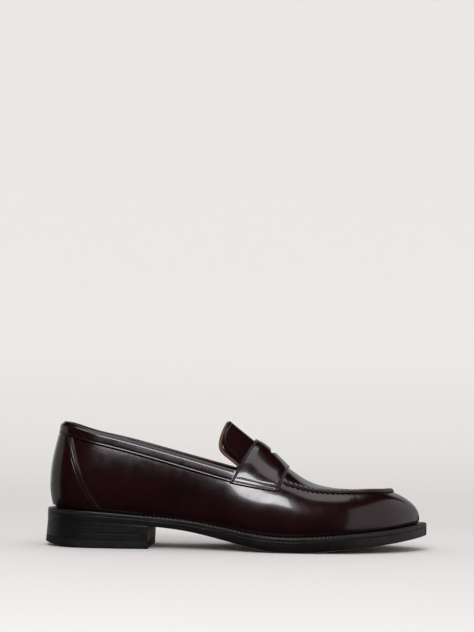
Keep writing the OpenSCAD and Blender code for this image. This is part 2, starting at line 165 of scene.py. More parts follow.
def wall(s, v):
    s, v = spread(s, v)
    r, n, f = rib(s), edge_n(s), feather(s)
    top = r[..., 3:6]
    h = 0.35 * np.linalg.norm(top - f, axis=-1, keepdims=True)
    low, high = np.radians(r[..., 6:7]), np.radians(r[..., 7:8])
    a = f + h * np.concatenate([n * np.sin(low), np.cos(low)], -1)
    b = top - h * np.concatenate([-n * np.sin(high), np.cos(high)], -1)
    v = v[..., None]
    u = 1 - v
    return u ** 3 * f + 3 * u * u * v * a + 3 * u * v * v * b + v ** 3 * top


def wall_n(s, v):
    s, v = spread(s, v)
    return unit(np.cross(wall(s + 0.04, v) - wall(s - 0.04, v), wall(s, v + 0.01) - wall(s, v - 0.01)))


def wall_at(s, v, d):
    s, v, d = spread(s, v, d)
    return wall(s, v) + d[..., None] * wall_n(s, v)


def arch(s, w):
    s, w = spread(s, w)
    c = instep_at(s)
    p, q = wall(s, 1.0), wall(N_RIBS - s, 1.0)
    lift = np.stack([c[..., 1], 0 * c[..., 1], c[..., 0]], -1) * 4 / 3
    a, b = p + (q - p) * c[..., 2:3] + lift, q + (p - q) * c[..., 2:3] + lift
    w = w[..., None]
    u = 1 - w
    return u ** 3 * p + 3 * u * u * w * a + 3 * u * w * w * b + w ** 3 * q


def arch_n(s, w):
    return unit(np.cross(arch(s + 0.04, w) - arch(s - 0.04, w), arch(s, w + 0.02) - arch(s, w - 0.02)))


def wall_h(s):
    """Height of the wall along its rib, in mm."""
    return np.linalg.norm(wall(s, 1.0) - wall(s, 0.0), axis=-1) * 1.04


def band_v(s):
    """Where the collar band's lower edge crosses the wall."""
    return 1 - BAND_H / np.linalg.norm(wall(s, 1.0) - wall(s, 0.0), axis=-1)


def run_along(points):
    """Length along a line of points from its first point to each."""
    return np.concatenate([[0], np.cumsum(np.linalg.norm(np.diff(points, axis=0), axis=1))])


def resample(points, run, at):
    """The line of points, whose lengths are run, read at the lengths at."""
    return np.stack([np.interp(at, run, points[:, k]) for k in range(points.shape[1])], -1)


def square_to(axis, v):
    """v turned square to the unit vectors axis."""
    return unit(v - axis * np.sum(v * axis, -1, keepdims=True))


def circle(sides):
    return np.linspace(0, 2 * np.pi, sides, endpoint=False)


def even_s(path, s0, s1, count):
    """count positions between s0 and s1, evenly spaced along the curve path(s), and its length."""
    s = np.linspace(s0, s1, 2000)
    run = run_along(path(s))
    return np.interp(np.linspace(0, run[-1], count), run, s), run[-1]


def ease(x):
    x = np.clip(x, 0, 1)
    return x * x * (3 - 2 * x)


def bell(x, middle, width):
    """1 at the middle, close to 0 two widths away."""
    return np.exp(-(((x - middle) / width) ** 2))


def fade(dist, width):
    """1 at no distance, about a third at one width."""
    return np.exp(-dist / width)


def outer_side(s):
    """The rib position on the outer side at s or opposite it."""
    s = np.mod(s, N_RIBS)
    return np.minimum(s, N_RIBS - s)


def rounded(dist, radius):
    """Share of full thickness at a distance from a cut edge whose top is rounded over."""
    x = np.clip(dist / radius, 0, 1)
    return np.sqrt(1 - (1 - x) ** 2)


def dense(a, b, count, spots=(), width=0.03, extra=8):
    """Grid lines from a to b, packed closer at both ends and round spots."""
    base = list(np.linspace(a, b, count))
    for c in list(spots) + [a, b]:
        base += list(c + width * np.linspace(-1, 1, extra))
    base = sorted(x for x in base if a <= x <= b)
    out = [base[0]]
    for x in base[1:]:
        if x - out[-1] > (b - a) * 1e-4:
            out.append(x)
    out[-1] = b
    return np.array(out)


# ---------------------------------------------------------------- meshes

def mesh_piece(name, points, faces, material, flat_above=None, shade=None):
    mesh = bpy.data.meshes.new(name)
    mesh.from_pydata((np.asarray(points, float).reshape(-1, 3) * MM).tolist(), [], faces)
    mesh.validate()
    if shade is not None:
        # Stored as the edge attribute: burnished cut edges plus painted shade in grooves, creases and
        # joints.
        layer = mesh.attributes.new("edge", "FLOAT", "POINT")
        layer.data.foreach_set("value", np.asarray(shade, np.float32).ravel())
    for p in mesh.polygons:
        p.use_smooth = True
    if flat_above:
        mesh.set_sharp_from_angle(angle=math.radians(flat_above))
    mesh.materials.append(material)
    obj = bpy.data.objects.new(name, mesh)
    bpy.context.scene.collection.objects.link(obj)
    return obj


def grid_faces(n, m, wrap_n=False, wrap_m=False, start=0):
    i = np.arange(n if wrap_n else n - 1)
    j = np.arange(m if wrap_m else m - 1)
    i, j = (x.ravel() for x in np.meshgrid(i, j, indexing="ij"))
    i2, j2 = (i + 1) % n, (j + 1) % m
    return (np.stack([i * m + j, i2 * m + j, i2 * m + j2, i * m + j2], -1) + start).tolist()


def grid_piece(name, grid, material, wrap_n=False, wrap_m=False, shade=None):
    return mesh_piece(name, grid, grid_faces(*grid.shape[:2], wrap_n, wrap_m), material, shade=shade)


def leaf_piece(name, top, under, material, shade=None, cut=None):
    """A piece of leather between two grids whose borders meet; cut marks cells to leave open."""
    n, m = top.shape[:2]
    faces = grid_faces(n, m)
    if cut is not None:
        gone = (cut[:-1, :-1] & cut[1:, :-1] & cut[1:, 1:] & cut[:-1, 1:]).ravel()
        faces = [f for f, g in zip(faces, gone, strict=True) if not g]
    back = [[n * m + k for k in reversed(f)] for f in faces]
    rim = []
    for i in range(n - 1):
        rim.append([i * m, n * m + i * m, n * m + (i + 1) * m, (i + 1) * m])
        a, b = i * m + m - 1, (i + 1) * m + m - 1
        rim.append([b, n * m + b, n * m + a, a])
    for j in range(m - 1):
        rim.append([j + 1, n * m + j + 1, n * m + j, j])
        a = (n - 1) * m + j
        rim.append([a, n * m + a, n * m + a + 1, a + 1])
    points = np.concatenate([top.reshape(-1, 3), under.reshape(-1, 3)])
    both = None if shade is None else np.concatenate([shade.ravel(), shade.ravel()])
    return mesh_piece(name, points, faces + back + rim, material, 50, both)


def border_mm(grid):
    """Distance in mm of every grid point from the grid's four borders, along its lines."""
    du = np.linalg.norm(np.diff(grid, axis=0), axis=-1)
    dv = np.linalg.norm(np.diff(grid, axis=1), axis=-1)
    u = np.concatenate([np.zeros((1, grid.shape[1])), np.cumsum(du, axis=0)])
    v = np.concatenate([np.zeros((grid.shape[0], 1)), np.cumsum(dv, axis=1)], axis=1)
    return u, u[-1:] - u, v, v[:, -1:] - v


def grid_normals(grid):
    return unit(np.cross(np.gradient(grid, axis=0), np.gradient(grid, axis=1)))


def stitches(name, at, along, up, length, width, material, sink=0.35, tilt=0.0):
    """A row of thread: each stitch a plump capsule lying along the row, its ends sunk in."""
    rings, sides = 9, 8
    t = np.linspace(-1, 1, rings)
    swell = np.sqrt(np.maximum(1 - np.abs(t) ** 3.2, 0.0)) * 0.92 + 0.08
    a = circle(sides)
    across = unit(np.cross(up, along))
    if tilt:
        along = unit(along * math.cos(tilt) + across * math.sin(tilt))
        across = unit(np.cross(up, along))
    pts, faces = [], []
    for k in range(len(at)):
        jitter = 1 + 0.06 * RNG.standard_normal()
        grid = (at[k] + along[k] * (t[:, None, None] * length * jitter / 2)
                + across[k] * (swell[:, None] * np.cos(a) * width / 2)[..., None]
                + up[k] * (swell[:, None] * np.sin(a) * width / 2
                           - sink * (np.abs(t)[:, None] ** 3) * width)[..., None])
        first = k * rings * sides
        faces += grid_faces(rings, sides, False, True, first)
        pts.append(grid.reshape(-1, 3))
        faces.append([first + i for i in range(sides)][::-1])
        faces.append([first + (rings - 1) * sides + i for i in range(sides)])
    return mesh_piece(name, np.concatenate(pts), faces, material)


# ---------------------------------------------------------------- materials

class Nodes:
    """Short calls for building one material's node tree."""

    def __init__(self, name):
        self.mat = bpy.data.materials.new(name)
        self.mat.use_nodes = True
        self.tree = self.mat.node_tree
        self.shader = self.tree.nodes["Principled BSDF"]
        self.coords = self.add("ShaderNodeTexCoord").outputs["Object"]

    def add(self, kind, **inputs):
        node = self.tree.nodes.new(kind)
        for key, value in inputs.items():
            node.inputs[key.replace("_", " ")].default_value = value
        return node

    def link(self, a, b):
        self.tree.links.new(a, b)

    def put(self, value, socket):
        """Give a socket a number, a colour or another node's output."""
        if isinstance(value, (int, float)):
            socket.default_value = value
        elif isinstance(value, tuple):
            socket.default_value = (*value, 1)
        else:
            self.link(value, socket)

    def scaled(self, scale):
        node = self.add("ShaderNodeMapping")
        node.inputs["Scale"].default_value = scale
        self.link(self.coords, node.inputs["Vector"])
        return node.outputs["Vector"]

    def noise(self, scale, detail=3.0, rough=0.5, vector=None):
        node = self.add("ShaderNodeTexNoise", Scale=scale, Detail=detail, Roughness=rough)
        self.link(self.coords if vector is None else vector, node.inputs["Vector"])
        return node.outputs["Fac"]

    def cells(self, scale):
        node = self.add("ShaderNodeTexVoronoi", Scale=scale)
        self.link(self.coords, node.inputs["Vector"])
        return node.outputs["Distance"]

    def speckle(self, scale, low, high, share=1, detail=4, rough=0.6):
        """Share of a second tone, from 0 to share, in patches of the given fineness."""
        return self.range(self.noise(scale, detail, rough), low, high, 0, share)

    def range(self, value, low, high, to_low, to_high):
        node = self.add("ShaderNodeMapRange")
        for key, v in zip((1, 2, 3, 4), (low, high, to_low, to_high), strict=True):
            node.inputs[key].default_value = v
        self.link(value, node.inputs[0])
        return node.outputs[0]

    def math(self, kind, a, b):
        node = self.add("ShaderNodeMath")
        node.operation = kind
        self.link(a, node.inputs[0])
        self.link(b, node.inputs[1])
        return node.outputs[0]

    def mix(self, share, a, b):
        node = self.add("ShaderNodeMix")
        node.data_type = "RGBA"
        self.link(share, node.inputs[0])
        self.put(a, node.inputs[6])
        self.put(b, node.inputs[7])
        return node.outputs[2]

    # The edge attribute: burnished cut edges plus painted shade in grooves, creases and joints.
    def edge(self):
        node = self.add("ShaderNodeAttribute")
        node.attribute_name = "edge"
        return node.outputs["Fac"]

    def bump(self, height, strength, distance, after=None):
        node = self.add("ShaderNodeBump", Strength=strength, Distance=distance)
        self.link(height, node.inputs["Height"])
        if after is not None:
            self.link(after, node.inputs["Normal"])
        return node.outputs["Normal"]

    def finish(self, colour, rough, normal, **fixed):
        self.put(colour, self.shader.inputs["Base Color"])
        self.put(rough, self.shader.inputs["Roughness"])
        self.link(normal, self.shader.inputs["Normal"])
        for key, value in fixed.items():
            self.shader.inputs[key.replace("_", " ")].default_value = value
        return self.mat


def polished_leather(name, deep, body, glow, gloss=0.24):
    """Brushed-off calf: a dark finish that lets redder leather through, closed pores, wax gloss; the deep
    tone, laid on by the edge attribute, darkens burnished cut edges and is painted shade in grooves, creases
    and joints.
    """
    n = Nodes(name)
    colour = n.mix(n.speckle(26, 0.35, 0.68, 1, 3, 0.55), body, glow)
    colour = n.mix(n.speckle(240, 0.4, 0.7, 0.25), colour, body)
    # Painted shade: the deep tone follows the edge attribute into stitch grooves, seam creases and joints,
    # besides the burnished cut edges.
    colour = n.mix(n.edge(), colour, deep)
    normal = n.bump(n.cells(1500), 0.05, 0.00004)
    normal = n.bump(n.noise(520, 5, 0.62), 0.06, 0.00007, normal)
    normal = n.bump(n.noise(70, 2, 0.5), 0.035, 0.0004, normal)
    rough = n.range(n.noise(150, 4, 0.6), 0.3, 0.7, gloss - 0.03, gloss + 0.06)
    return n.finish(colour, rough, normal, Specular_IOR_Level=0.75, Coat_Weight=0.6,
                    Coat_Roughness=0.06, Coat_IOR=1.5)


def soft_leather(name, dark, light, rough=0.62, pore=1100, nap=0.0):
    """Lining leather, suede when nap is above zero."""
    n = Nodes(name)
    colour = n.mix(n.speckle(60, 0.3, 0.7), dark, light)
    colour = n.mix(n.speckle(700, 0.35, 0.75, 0.5 + nap, 3, 0.7), colour, dark)
    normal = n.bump(n.cells(pore), 0.3, 0.00008)
    normal = n.bump(n.noise(300, 4, 0.6), 0.3 + nap, 0.00012, normal)
    return n.finish(colour, rough, normal, Specular_IOR_Level=0.35 - 0.25 * nap, Sheen_Weight=0.1 + nap,
                    Sheen_Roughness=0.5)


def stacked_edge(name, dark, light, layers=420, rough=0.34, coat=0.25):
    """Cut leather edge, dyed and waxed: fine lines along the layers."""
    n = Nodes(name)
    lines = n.noise(1, 3, 0.7, n.scaled((18, 18, layers)))
    colour = n.mix(n.range(lines, 0.35, 0.7, 0, 1), dark, light)
    colour = n.mix(n.speckle(90, 0.45, 0.8, 0.7), colour, dark)
    normal = n.bump(lines, 0.22, 0.00018)
    normal = n.bump(n.noise(900, 3, 0.6), 0.15, 0.00006, normal)
    roughness = n.range(n.noise(200, 4, 0.6), 0.3, 0.7, rough - 0.06, rough + 0.14)
    return n.finish(colour, roughness, normal, Coat_Weight=coat, Coat_Roughness=0.25)


def flesh_leather(name, dark, light):
    """The sole's underside: brown with faint scratches along the shoe."""
    n = Nodes(name)
    scratch = n.noise(1, 4, 0.6, n.scaled((35, 600, 600)))
    colour = n.mix(n.speckle(30, 0.3, 0.7), dark, light)
    colour = n.mix(n.range(scratch, 0.5, 0.8, 0, 0.5), colour, dark)
    return n.finish(colour, 0.5, n.bump(scratch, 0.2, 0.0001), Coat_Weight=0.1, Coat_Roughness=0.4)


def moulded_rubber(name, base):
    n = Nodes(name)
    light = tuple(c * 1.8 for c in base)
    colour = n.mix(n.speckle(160, 0.35, 0.75), base, light)
    return n.finish(colour, n.range(n.noise(400, 3, 0.6), 0.3, 0.7, 0.5, 0.7),
                    n.bump(n.noise(1400, 3, 0.6), 0.25, 0.00008), Specular_IOR_Level=0.4)


def twisted_thread(name, base):
    """Waxed thread: slanted plies."""
    n = Nodes(name)
    wave = n.add("ShaderNodeTexWave", Scale=900, Distortion=1.5, Detail=1)
    wave.bands_direction = "DIAGONAL"
    n.link(n.coords, wave.inputs["Vector"])
    colour = n.mix(n.range(wave.outputs["Fac"], 0.2, 0.9, 0, 1), base, tuple(c * 1.9 for c in base))
    return n.finish(colour, 0.42, n.bump(wave.outputs["Fac"], 0.35, 0.00008), Sheen_Weight=0.15)


def worked_metal(name, base, rough):
    n = Nodes(name)
    lines = n.noise(1, 4, 0.6, n.scaled((30, 900, 900)))
    colour = n.mix(lines, tuple(c * 0.75 for c in base), base)
    return n.finish(colour, n.range(lines, 0.3, 0.7, rough - 0.08, rough + 0.1),
                    n.bump(lines, 0.1, 0.00005), Metallic=1.0)


def granules(name, dark, light, scale, rough=0.85):
    """Cork, foam, fibre board and cloth: cells of two tones."""
    n = Nodes(name)
    cell = n.cells(scale)
    colour = n.mix(n.range(cell, 0.1, 0.7, 0, 1), light, dark)
    colour = n.mix(n.speckle(scale * 0.4, 0.4, 0.7, 0.7), colour, light)
    return n.finish(colour, rough, n.bump(cell, 0.5, 0.0002))


def woven(name, base):
    n = Nodes(name)
    warp = n.add("ShaderNodeTexWave", Scale=700, Distortion=0.4)
    weft = n.add("ShaderNodeTexWave", Scale=700, Distortion=0.4)
    weft.bands_direction = "Z"
    for w in (warp, weft):
        n.link(n.coords, w.inputs["Vector"])
    both = n.math("MULTIPLY", warp.outputs["Fac"], weft.outputs["Fac"])
    colour = n.mix(both, tuple(c * 0.7 for c in base), base)
    return n.finish(colour, 0.85, n.bump(both, 0.5, 0.0002))


def plain_floor(name, near, far):
    """Matt paint; the far sweep, out of the lamps' reach, glows a little so all looks evenly pale."""
    n = Nodes(name)
    away = n.tree.nodes.new("ShaderNodeVectorMath")
    away.operation = "LENGTH"
    n.link(n.coords, away.inputs[0])
    share = n.range(away.outputs["Value"], 0.4, 2.4, 0, 1)
    glow = n.mix(share, (0.0, 0.0, 0.0), tuple(c * 0.228 for c in far))
    n.link(glow, n.shader.inputs["Emission Color"])
    return n.finish(n.mix(share, near, far), 0.8, n.bump(n.noise(220, 3, 0.5), 0.02, 0.0002),
                    Specular_IOR_Level=0.2, Emission_Strength=1.0)


BURGUNDY = polished_leather("burgundy_calf", (0.0028, 0.0012, 0.0014), (0.0088, 0.0016, 0.0022),
                            (0.0170, 0.0027, 0.0037), 0.19)
# Painted highlight: the moc ridge is the same calf, painted several times lighter for the light caught on
# the raised bead.
RIDGE = polished_leather("burgundy_ridge_painted_highlight", (0.005, 0.0028, 0.0028), (0.046, 0.0210, 0.0180),
                         (0.070, 0.0330, 0.0270), 0.32)
LINING = soft_leather("lining_calf", (0.060, 0.018, 0.012), (0.115, 0.036, 0.022), 0.55)
# Lighter than the quarter lining: partly the tongue lining's own tan, partly painted light, as its underside
# faces away from the lamps.
TONGUE_LINING = soft_leather("tongue_lining_calf", (0.105, 0.050, 0.031), (0.175, 0.090, 0.056), 0.6)
GRIP = soft_leather("heel_grip_suede", (0.080, 0.040, 0.024), (0.140, 0.078, 0.050), 0.9, 1500, 0.4)
SOCK = soft_leather("sock_calf", (0.110, 0.052, 0.030), (0.190, 0.100, 0.060), 0.58)
# Painted highlight: the welt edge's light tone is raised well above the sole edge's, for the light line
# along the welt's top edge.
WELT_EDGE = stacked_edge("welt_edge", (0.0050, 0.0040, 0.0042), (0.026, 0.021, 0.021), 700, 0.34)
SOLE_EDGE = stacked_edge("sole_edge", (0.0042, 0.0034, 0.0037), (0.0095, 0.0075, 0.0078))
HEEL_EDGE = stacked_edge("heel_edge", (0.0046, 0.0038, 0.0042), (0.0090, 0.0076, 0.0080), 900, 0.36)
# The bottom leather's own brown, lightened as painted light: it also colours the heel breast, which the
# floor lights.
SOLE_FACE = flesh_leather("sole_underside", (0.105, 0.062, 0.044), (0.19, 0.12, 0.088))
RUBBER = moulded_rubber("heel_rubber", (0.0055, 0.0052, 0.0055))
THREAD = twisted_thread("upper_thread", (0.008, 0.0035, 0.0038))
# Partly the thread's own brown, partly painted highlight: it is lighter than the upper's thread for the
# light line along the welt's top.
WELT_THREAD = twisted_thread("welt_thread", (0.030, 0.015, 0.012))
STEEL = worked_metal("shank_steel", (0.55, 0.56, 0.57), 0.35)
BRASS = worked_metal("pin_brass", (0.62, 0.42, 0.16), 0.3)
CORK = granules("cork", (0.16, 0.08, 0.04), (0.42, 0.26, 0.14), 420)
FOAM = granules("foam", (0.62, 0.46, 0.2), (0.78, 0.64, 0.34), 900)
BOARD = granules("board", (0.34, 0.24, 0.14), (0.46, 0.34, 0.21), 1500, 0.75)
INSOLE = soft_leather("insole_leather", (0.36, 0.22, 0.13), (0.50, 0.33, 0.20), 0.65)
CLOTH = woven("interlining_cloth", (0.66, 0.62, 0.52))
FLOOR = plain_floor("floor_paint", (0.775, 0.765, 0.755), (0.90, 0.89, 0.88))


# ---------------------------------------------------------------- upper

MOC_PITCH = 3.95
# The seam stands up on the outer side round this rib position and dips on the inner side
HUMP_AT, HUMP_OUTER, DIP_INNER = 8.3, 1.5, 1.2
# Half height and half width of the pinched leather ridge
RIDGE_TALL, RIDGE_HALF = 1.45, 1.65
# How much lower the upper lies under the strap
STRAP_BED = 1.3
MOC_S = np.linspace(STRAP_FRONT + 0.02, N_RIBS - STRAP_FRONT - 0.02, 3000)
MOC_RUN = run_along(wall(MOC_S, 1.0))
MOC_COUNT = round(MOC_RUN[-1] / MOC_PITCH)


def moc_phase(s):
    """Stitch count along the moc seam at rib position s, and how much of the seam's relief applies."""
    phase = np.interp(s, MOC_S, MOC_RUN / MOC_RUN[-1] * MOC_COUNT)
    inside = ease((s - MOC_S[0]) / 0.12) * ease((MOC_S[-1] - s) / 0.12)
    return phase, inside


def unevenness(p, size, seed):
    """Slow waves over the surface, between -1 and 1, as no hide lies perfectly even."""
    rng = np.random.default_rng(seed)
    out = 0
    for _ in range(7):
        k = unit(rng.normal(size=3)) * 2 * np.pi / (size * rng.uniform(0.7, 1.6))
        out = out + np.sin(p @ k + rng.uniform(0, 2 * np.pi))
    return out / 7


def under_strap(s):
    """1 where the saddle strap covers the upper, 0 outside its edges."""
    near = outer_side(s)
    return ease((near - STRAP_BACK - 0.03) / 0.08) * ease((STRAP_FRONT - 0.03 - near) / 0.08)


def seam_rise(s):
    """How far the seam stands up along the vamp, mm: more on the outer side, less on the inner."""
    near = outer_side(s)
    outer = ease(TOE + 0.5 - np.mod(s, N_RIBS))
    return (HUMP_OUTER * outer * bell(near, HUMP_AT, 0.8)
            - DIP_INNER * (1 - outer) * bell(near, HUMP_AT, 1.3))


def seam_lift(s, above):
    """Depth of the moc seam at rib positions s, mm over the outer leather; less on the inner side."""
    return (OUTER + above - 0.8 * ease(s - TOE) + seam_rise(s))[:, None]


def make_skirt():
    ss = np.arange(0, N_RIBS, 1 / 56)[:, None]
    vv = dense(0.05, 1, 44, width=0.04, extra=10)[None, :]
    h = wall_h(ss)
    phase, moc = moc_phase(ss)
    base = wall(ss, vv)
    below = (1 - vv) * h
    depth = OUTER + 0.09 * unevenness(base, 46, 3)
    depth = depth + moc * (0.05 * fade(below, 1.5) * np.cos(2 * np.pi * phase)
                           + 0.3 * bell(below, 0, 1.5))
    depth = depth + 0.75 * seam_rise(ss) * fade(below, 4.5)
    depth = depth - STRAP_BED * under_strap(ss) * ease((vv - 0.82) / 0.1)
    outer = base + depth[..., None] * wall_n(ss, vv)
    turn = np.linspace(0, np.pi, 7)[None, 1:]
    r = LEATHER / 2
    top = wall_at(ss, 1 + r * np.sin(turn) / h, depth[:, -1:] - r + r * np.cos(turn))
    inner = wall_at(ss, np.linspace(0.99, 0.86, 3)[None, :], OUTER - LEATHER)
    f, n = feather(ss[:, 0]), edge_n(ss[:, 0])

    def tuck(out, drop):
        return (with_z(f[:, :2] + n * out, f[:, 2] - drop))[:, None, :]

    grid = np.concatenate([tuck(-2, 1.5), tuck(2.2, 1.5), tuck(3.1, 1.05), outer, top, inner], 1)
    # Painted shade: darker along the top where the moc seam and collar band meet it, at the foot where the
    # upper meets the welt, and fully dark on the rows tucked under the welt.
    shade = np.zeros(grid.shape[:2])
    shade[:, 3:3 + vv.shape[1]] = np.clip(0.75 * fade(below, 2.2) + 0.9 * fade(vv * h, 3.5), 0, 1)
    shade[:, :3] = 1
    return grid_piece("skirt_calf", grid, BURGUNDY, wrap_n=True, shade=shade)


def make_apron():
    t = dense(0, 1, 150, width=0.02)
    ss = (5.5 + 4.43 * (1 - (1 - t) ** 1.35))[:, None]
    ww = dense(0, 1, 100, width=0.05, extra=14)[None, :]
    base = arch(ss, ww)
    _, _, a, b = border_mm(base)
    side = np.minimum(a, b)
    near = np.where(np.broadcast_to(ww, side.shape) < 0.5, ss, N_RIBS - ss)
    phase, moc = moc_phase(near)
    depth = (OUTER + 0.08 * unevenness(base, 40, 5)
             + moc * (0.16 * fade(side, 2.0) * np.cos(2 * np.pi * phase) + 0.55 * bell(side, 0, 1.5)))
    depth = depth - STRAP_BED * ease((STRAP_FRONT - 0.03 - ss) / 0.08)
    depth = depth + seam_rise(near) * 0.75 * fade(side, 3.0)
    depth = depth - 0.9 * bell(ss, 8.4, 1.2) * (1 - fade(side, 3.0))
    n = arch_n(ss, ww)
    # Painted shade: darker within a few mm of the moc seam along the apron's sides.
    shade = np.clip(0.8 * fade(side, 2.4), 0, 1)
    return leaf_piece("apron_calf", base + depth[..., None] * n, base + (OUTER - LEATHER) * n,
                      BURGUNDY, shade)


def seam_frame(s):
    """Points on the moc seam with its outward normal, its run and the direction up to the apron."""
    s = np.asarray(s, float)
    w = np.where(s > TOE, 1.0, 0.0)
    flat = unit(wall_n(s, 1.0) + arch_n(np.minimum(outer_side(s), 9.9), w))
    run = unit(wall(s + 0.02, 1.0) - wall(s - 0.02, 1.0))
    flat = square_to(run, flat)
    return wall(s, 1.0), flat, run, unit(np.cross(flat, run))


def make_moc_ridge():
    count = MOC_COUNT * 14
    s, _ = even_s(lambda x: wall(x, 1.0), MOC_S[0], MOC_S[-1], count)
    at, up, _, inward = seam_frame(s)
    phase, _ = moc_phase(s)
    a = circle(18)
    swell = 0.56 + 0.44 * np.abs(np.sin(np.pi * (phase[:, None] + 0.28 * np.cos(a)))) ** 0.6
    ends = rounded(np.minimum(np.arange(count), count - 1 - np.arange(count)) / 8.0, 1.0)[:, None]
    rise, reach = RIDGE_TALL * ends * swell * np.sin(a), RIDGE_HALF * ends * swell * np.cos(a)
    grid = (at[:, None] + up[:, None] * (seam_lift(s, 1.1) + rise)[..., None]
            + inward[:, None] * reach[..., None])
    # Painted shade: the ridge's colour darkens where it is pinched in between the stitches.
    return grid_piece("moc_ridge", grid, RIDGE, wrap_m=True, shade=np.clip(1.1 - swell, 0, 1) * 1.6)


def make_moc_thread():
    pinch = np.arange(1, MOC_COUNT) / MOC_COUNT * MOC_RUN[-1]
    s_low = np.interp(pinch, MOC_RUN, MOC_S)
    at, up, run, inward = seam_frame(s_low)
    lift = seam_lift(s_low, 0.3)
    over = unit(inward + 0.5 * run)
    return [
        stitches("moc_thread_low", at - inward * 1.85 + up * (lift + 0.55), run, up, 2.9, 1.05, THREAD),
        stitches("moc_thread_over", at + up * (lift + 1.5), over, up, 3.3, 0.8, THREAD, sink=0.7),
        stitches("moc_thread_high", at + inward * 1.75 + up * (lift + 0.6) + run * 0.7, run, up,
                 2.1, 0.95, THREAD, tilt=0.25)]


def strap_low(s):
    return 0.755 + 0.02 * (s - STRAP_BACK)


def strap_base(ss, count):
    """The last under the strap, its corners eased: one line of points per rib position."""
    q = dense(0, 1, count, width=0.03, extra=12)
    reach = 40
    kernel = np.exp(-0.5 * (np.arange(-reach, reach + 1) / 11.0) ** 2)
    kernel /= kernel.sum()
    lines = []
    for s in ss:
        v = np.linspace(strap_low(s), 1, 14)[:-1]
        lean = s - 0.1 * (1 - v)
        line = np.concatenate([wall(lean, v), arch(s, np.linspace(0, 1, 80)),
                               wall(N_RIBS - lean, v)[::-1]])
        run = run_along(line)
        even = np.linspace(0, run[-1], 300)
        line = resample(line, run, even)
        grown = np.concatenate([2 * line[:1] - line[reach:0:-1], line,
                                2 * line[-1:] - line[-2:-reach - 2:-1]])
        line = np.stack([np.convolve(grown[:, k], kernel, "valid") for k in range(3)], -1)
        lines.append(resample(line, even, q * run[-1]))
    return np.array(lines)


# Coin slot: half length, half width and place across the strap; then the strap's thickness
SLOT_LONG, SLOT_WIDE, SLOT_PLACE = 11.5, 2.6, 0.455
STRAP_T = 1.45
# Distances of the stitched rows from the edges they follow
STRAP_ROW, STRAP_END_ROWS = 1.75, (2.1, 5.4)
COLLAR_ROW, COUNTER_ROWS = 1.95, (1.9, 4.1)
# Pitch, length and width of the stitches in a row
FINE_ROW, LONG_ROW = (2.4, 1.75, 0.5), (2.5, 1.85, 0.5)


def strap_field(base):
    """Distances over the strap in mm: from the nearest edge, from an end, and outside the coin slot."""
    back, front, outer, inner = border_mm(base)
    middle = (outer - inner) / 2
    across = back - (back + front) * SLOT_PLACE
    wide = SLOT_WIDE * np.clip(1 - np.abs(middle) / SLOT_LONG, 0, 1) ** 0.75
    slot = np.where(np.abs(middle) < SLOT_LONG, np.abs(across) - wide,
                    np.hypot(np.abs(middle) - SLOT_LONG, across))
    return back, front, outer, inner, slot


def strap_lift(back, front, outer, inner):
    """Depth of the strap's underside: it stands a little clear of the seam it bridges."""
    return OVER + 0.5 * ease(np.minimum(outer, inner) / 12) * ease(np.minimum(back, front) / 7)


def make_strap():
    ss = dense(STRAP_BACK, STRAP_FRONT, 90, (5.05, 5.95), width=0.03, extra=10)
    base = strap_base(ss, 230)
    n = grid_normals(base)
    back, front, outer, inner, slot = strap_field(base)
    edge = np.minimum.reduce([back, front, outer, inner])
    depth = STRAP_T * rounded(edge, 0.7) * rounded(np.maximum(slot, 0), 0.6)
    side = np.minimum(back, front)
    groove = bell(side, STRAP_ROW, 0.42)
    for row in STRAP_END_ROWS:
        groove = groove + 0.7 * bell(np.minimum(outer, inner), row, 0.4)
    depth = depth - 0.28 * np.clip(groove, 0, 1) * rounded(edge, 0.7) + 0.05 * unevenness(base, 22, 8)
    depth = depth + 0.25 * bell(side, 0.95, 0.5)
    depth = np.where(edge < 1e-6, 0, depth)
    lift = strap_lift(back, front, outer, inner)
    top = base + (lift + np.maximum(depth, 0))[..., None] * n
    # Painted shade in the stitch grooves; the cut edges and the rim of the coin slot darken too, partly
    # burnished and partly painted shade.
    shade = np.clip(fade(edge, 0.9) + 0.6 * groove + fade(np.maximum(slot, 0), 0.8), 0, 1) * 0.9
    return leaf_piece("saddle_strap_calf", top, base + (OVER - 0.15) * n, BURGUNDY, shade,
                      cut=slot < -0.1)


def surface_row(grid, normals, field, value):
    """Points where field first crosses value along each column of a grid, with normals."""
    pts, ups = [], []
    for j in range(grid.shape[1]):
        k = int(np.argmax(field[:, j] >= value))
        if k == 0:
            continue
        t = (value - field[k - 1, j]) / max(field[k, j] - field[k - 1, j], 1e-9)
        pts.append(grid[k - 1, j] * (1 - t) + grid[k, j] * t)
        ups.append(normals[k - 1, j] * (1 - t) + normals[k, j] * t)
    return np.array(pts), unit(np.array(ups))


def row_stitches(name, pts, ups, pitch, length, width):
    """Evenly pitched stitches along a line of surface points."""
    run = run_along(pts)
    count = max(int(run[-1] / pitch), 1)
    at = (np.arange(count) + 0.5) / count * run[-1]
    along = unit(resample(pts, run, np.minimum(at + 0.6, run[-1]))
                 - resample(pts, run, np.maximum(at - 0.6, 0)))
    return stitches(name, resample(pts, run, at), along, square_to(along, unit(resample(ups, run, at))),
                    length, width, THREAD)


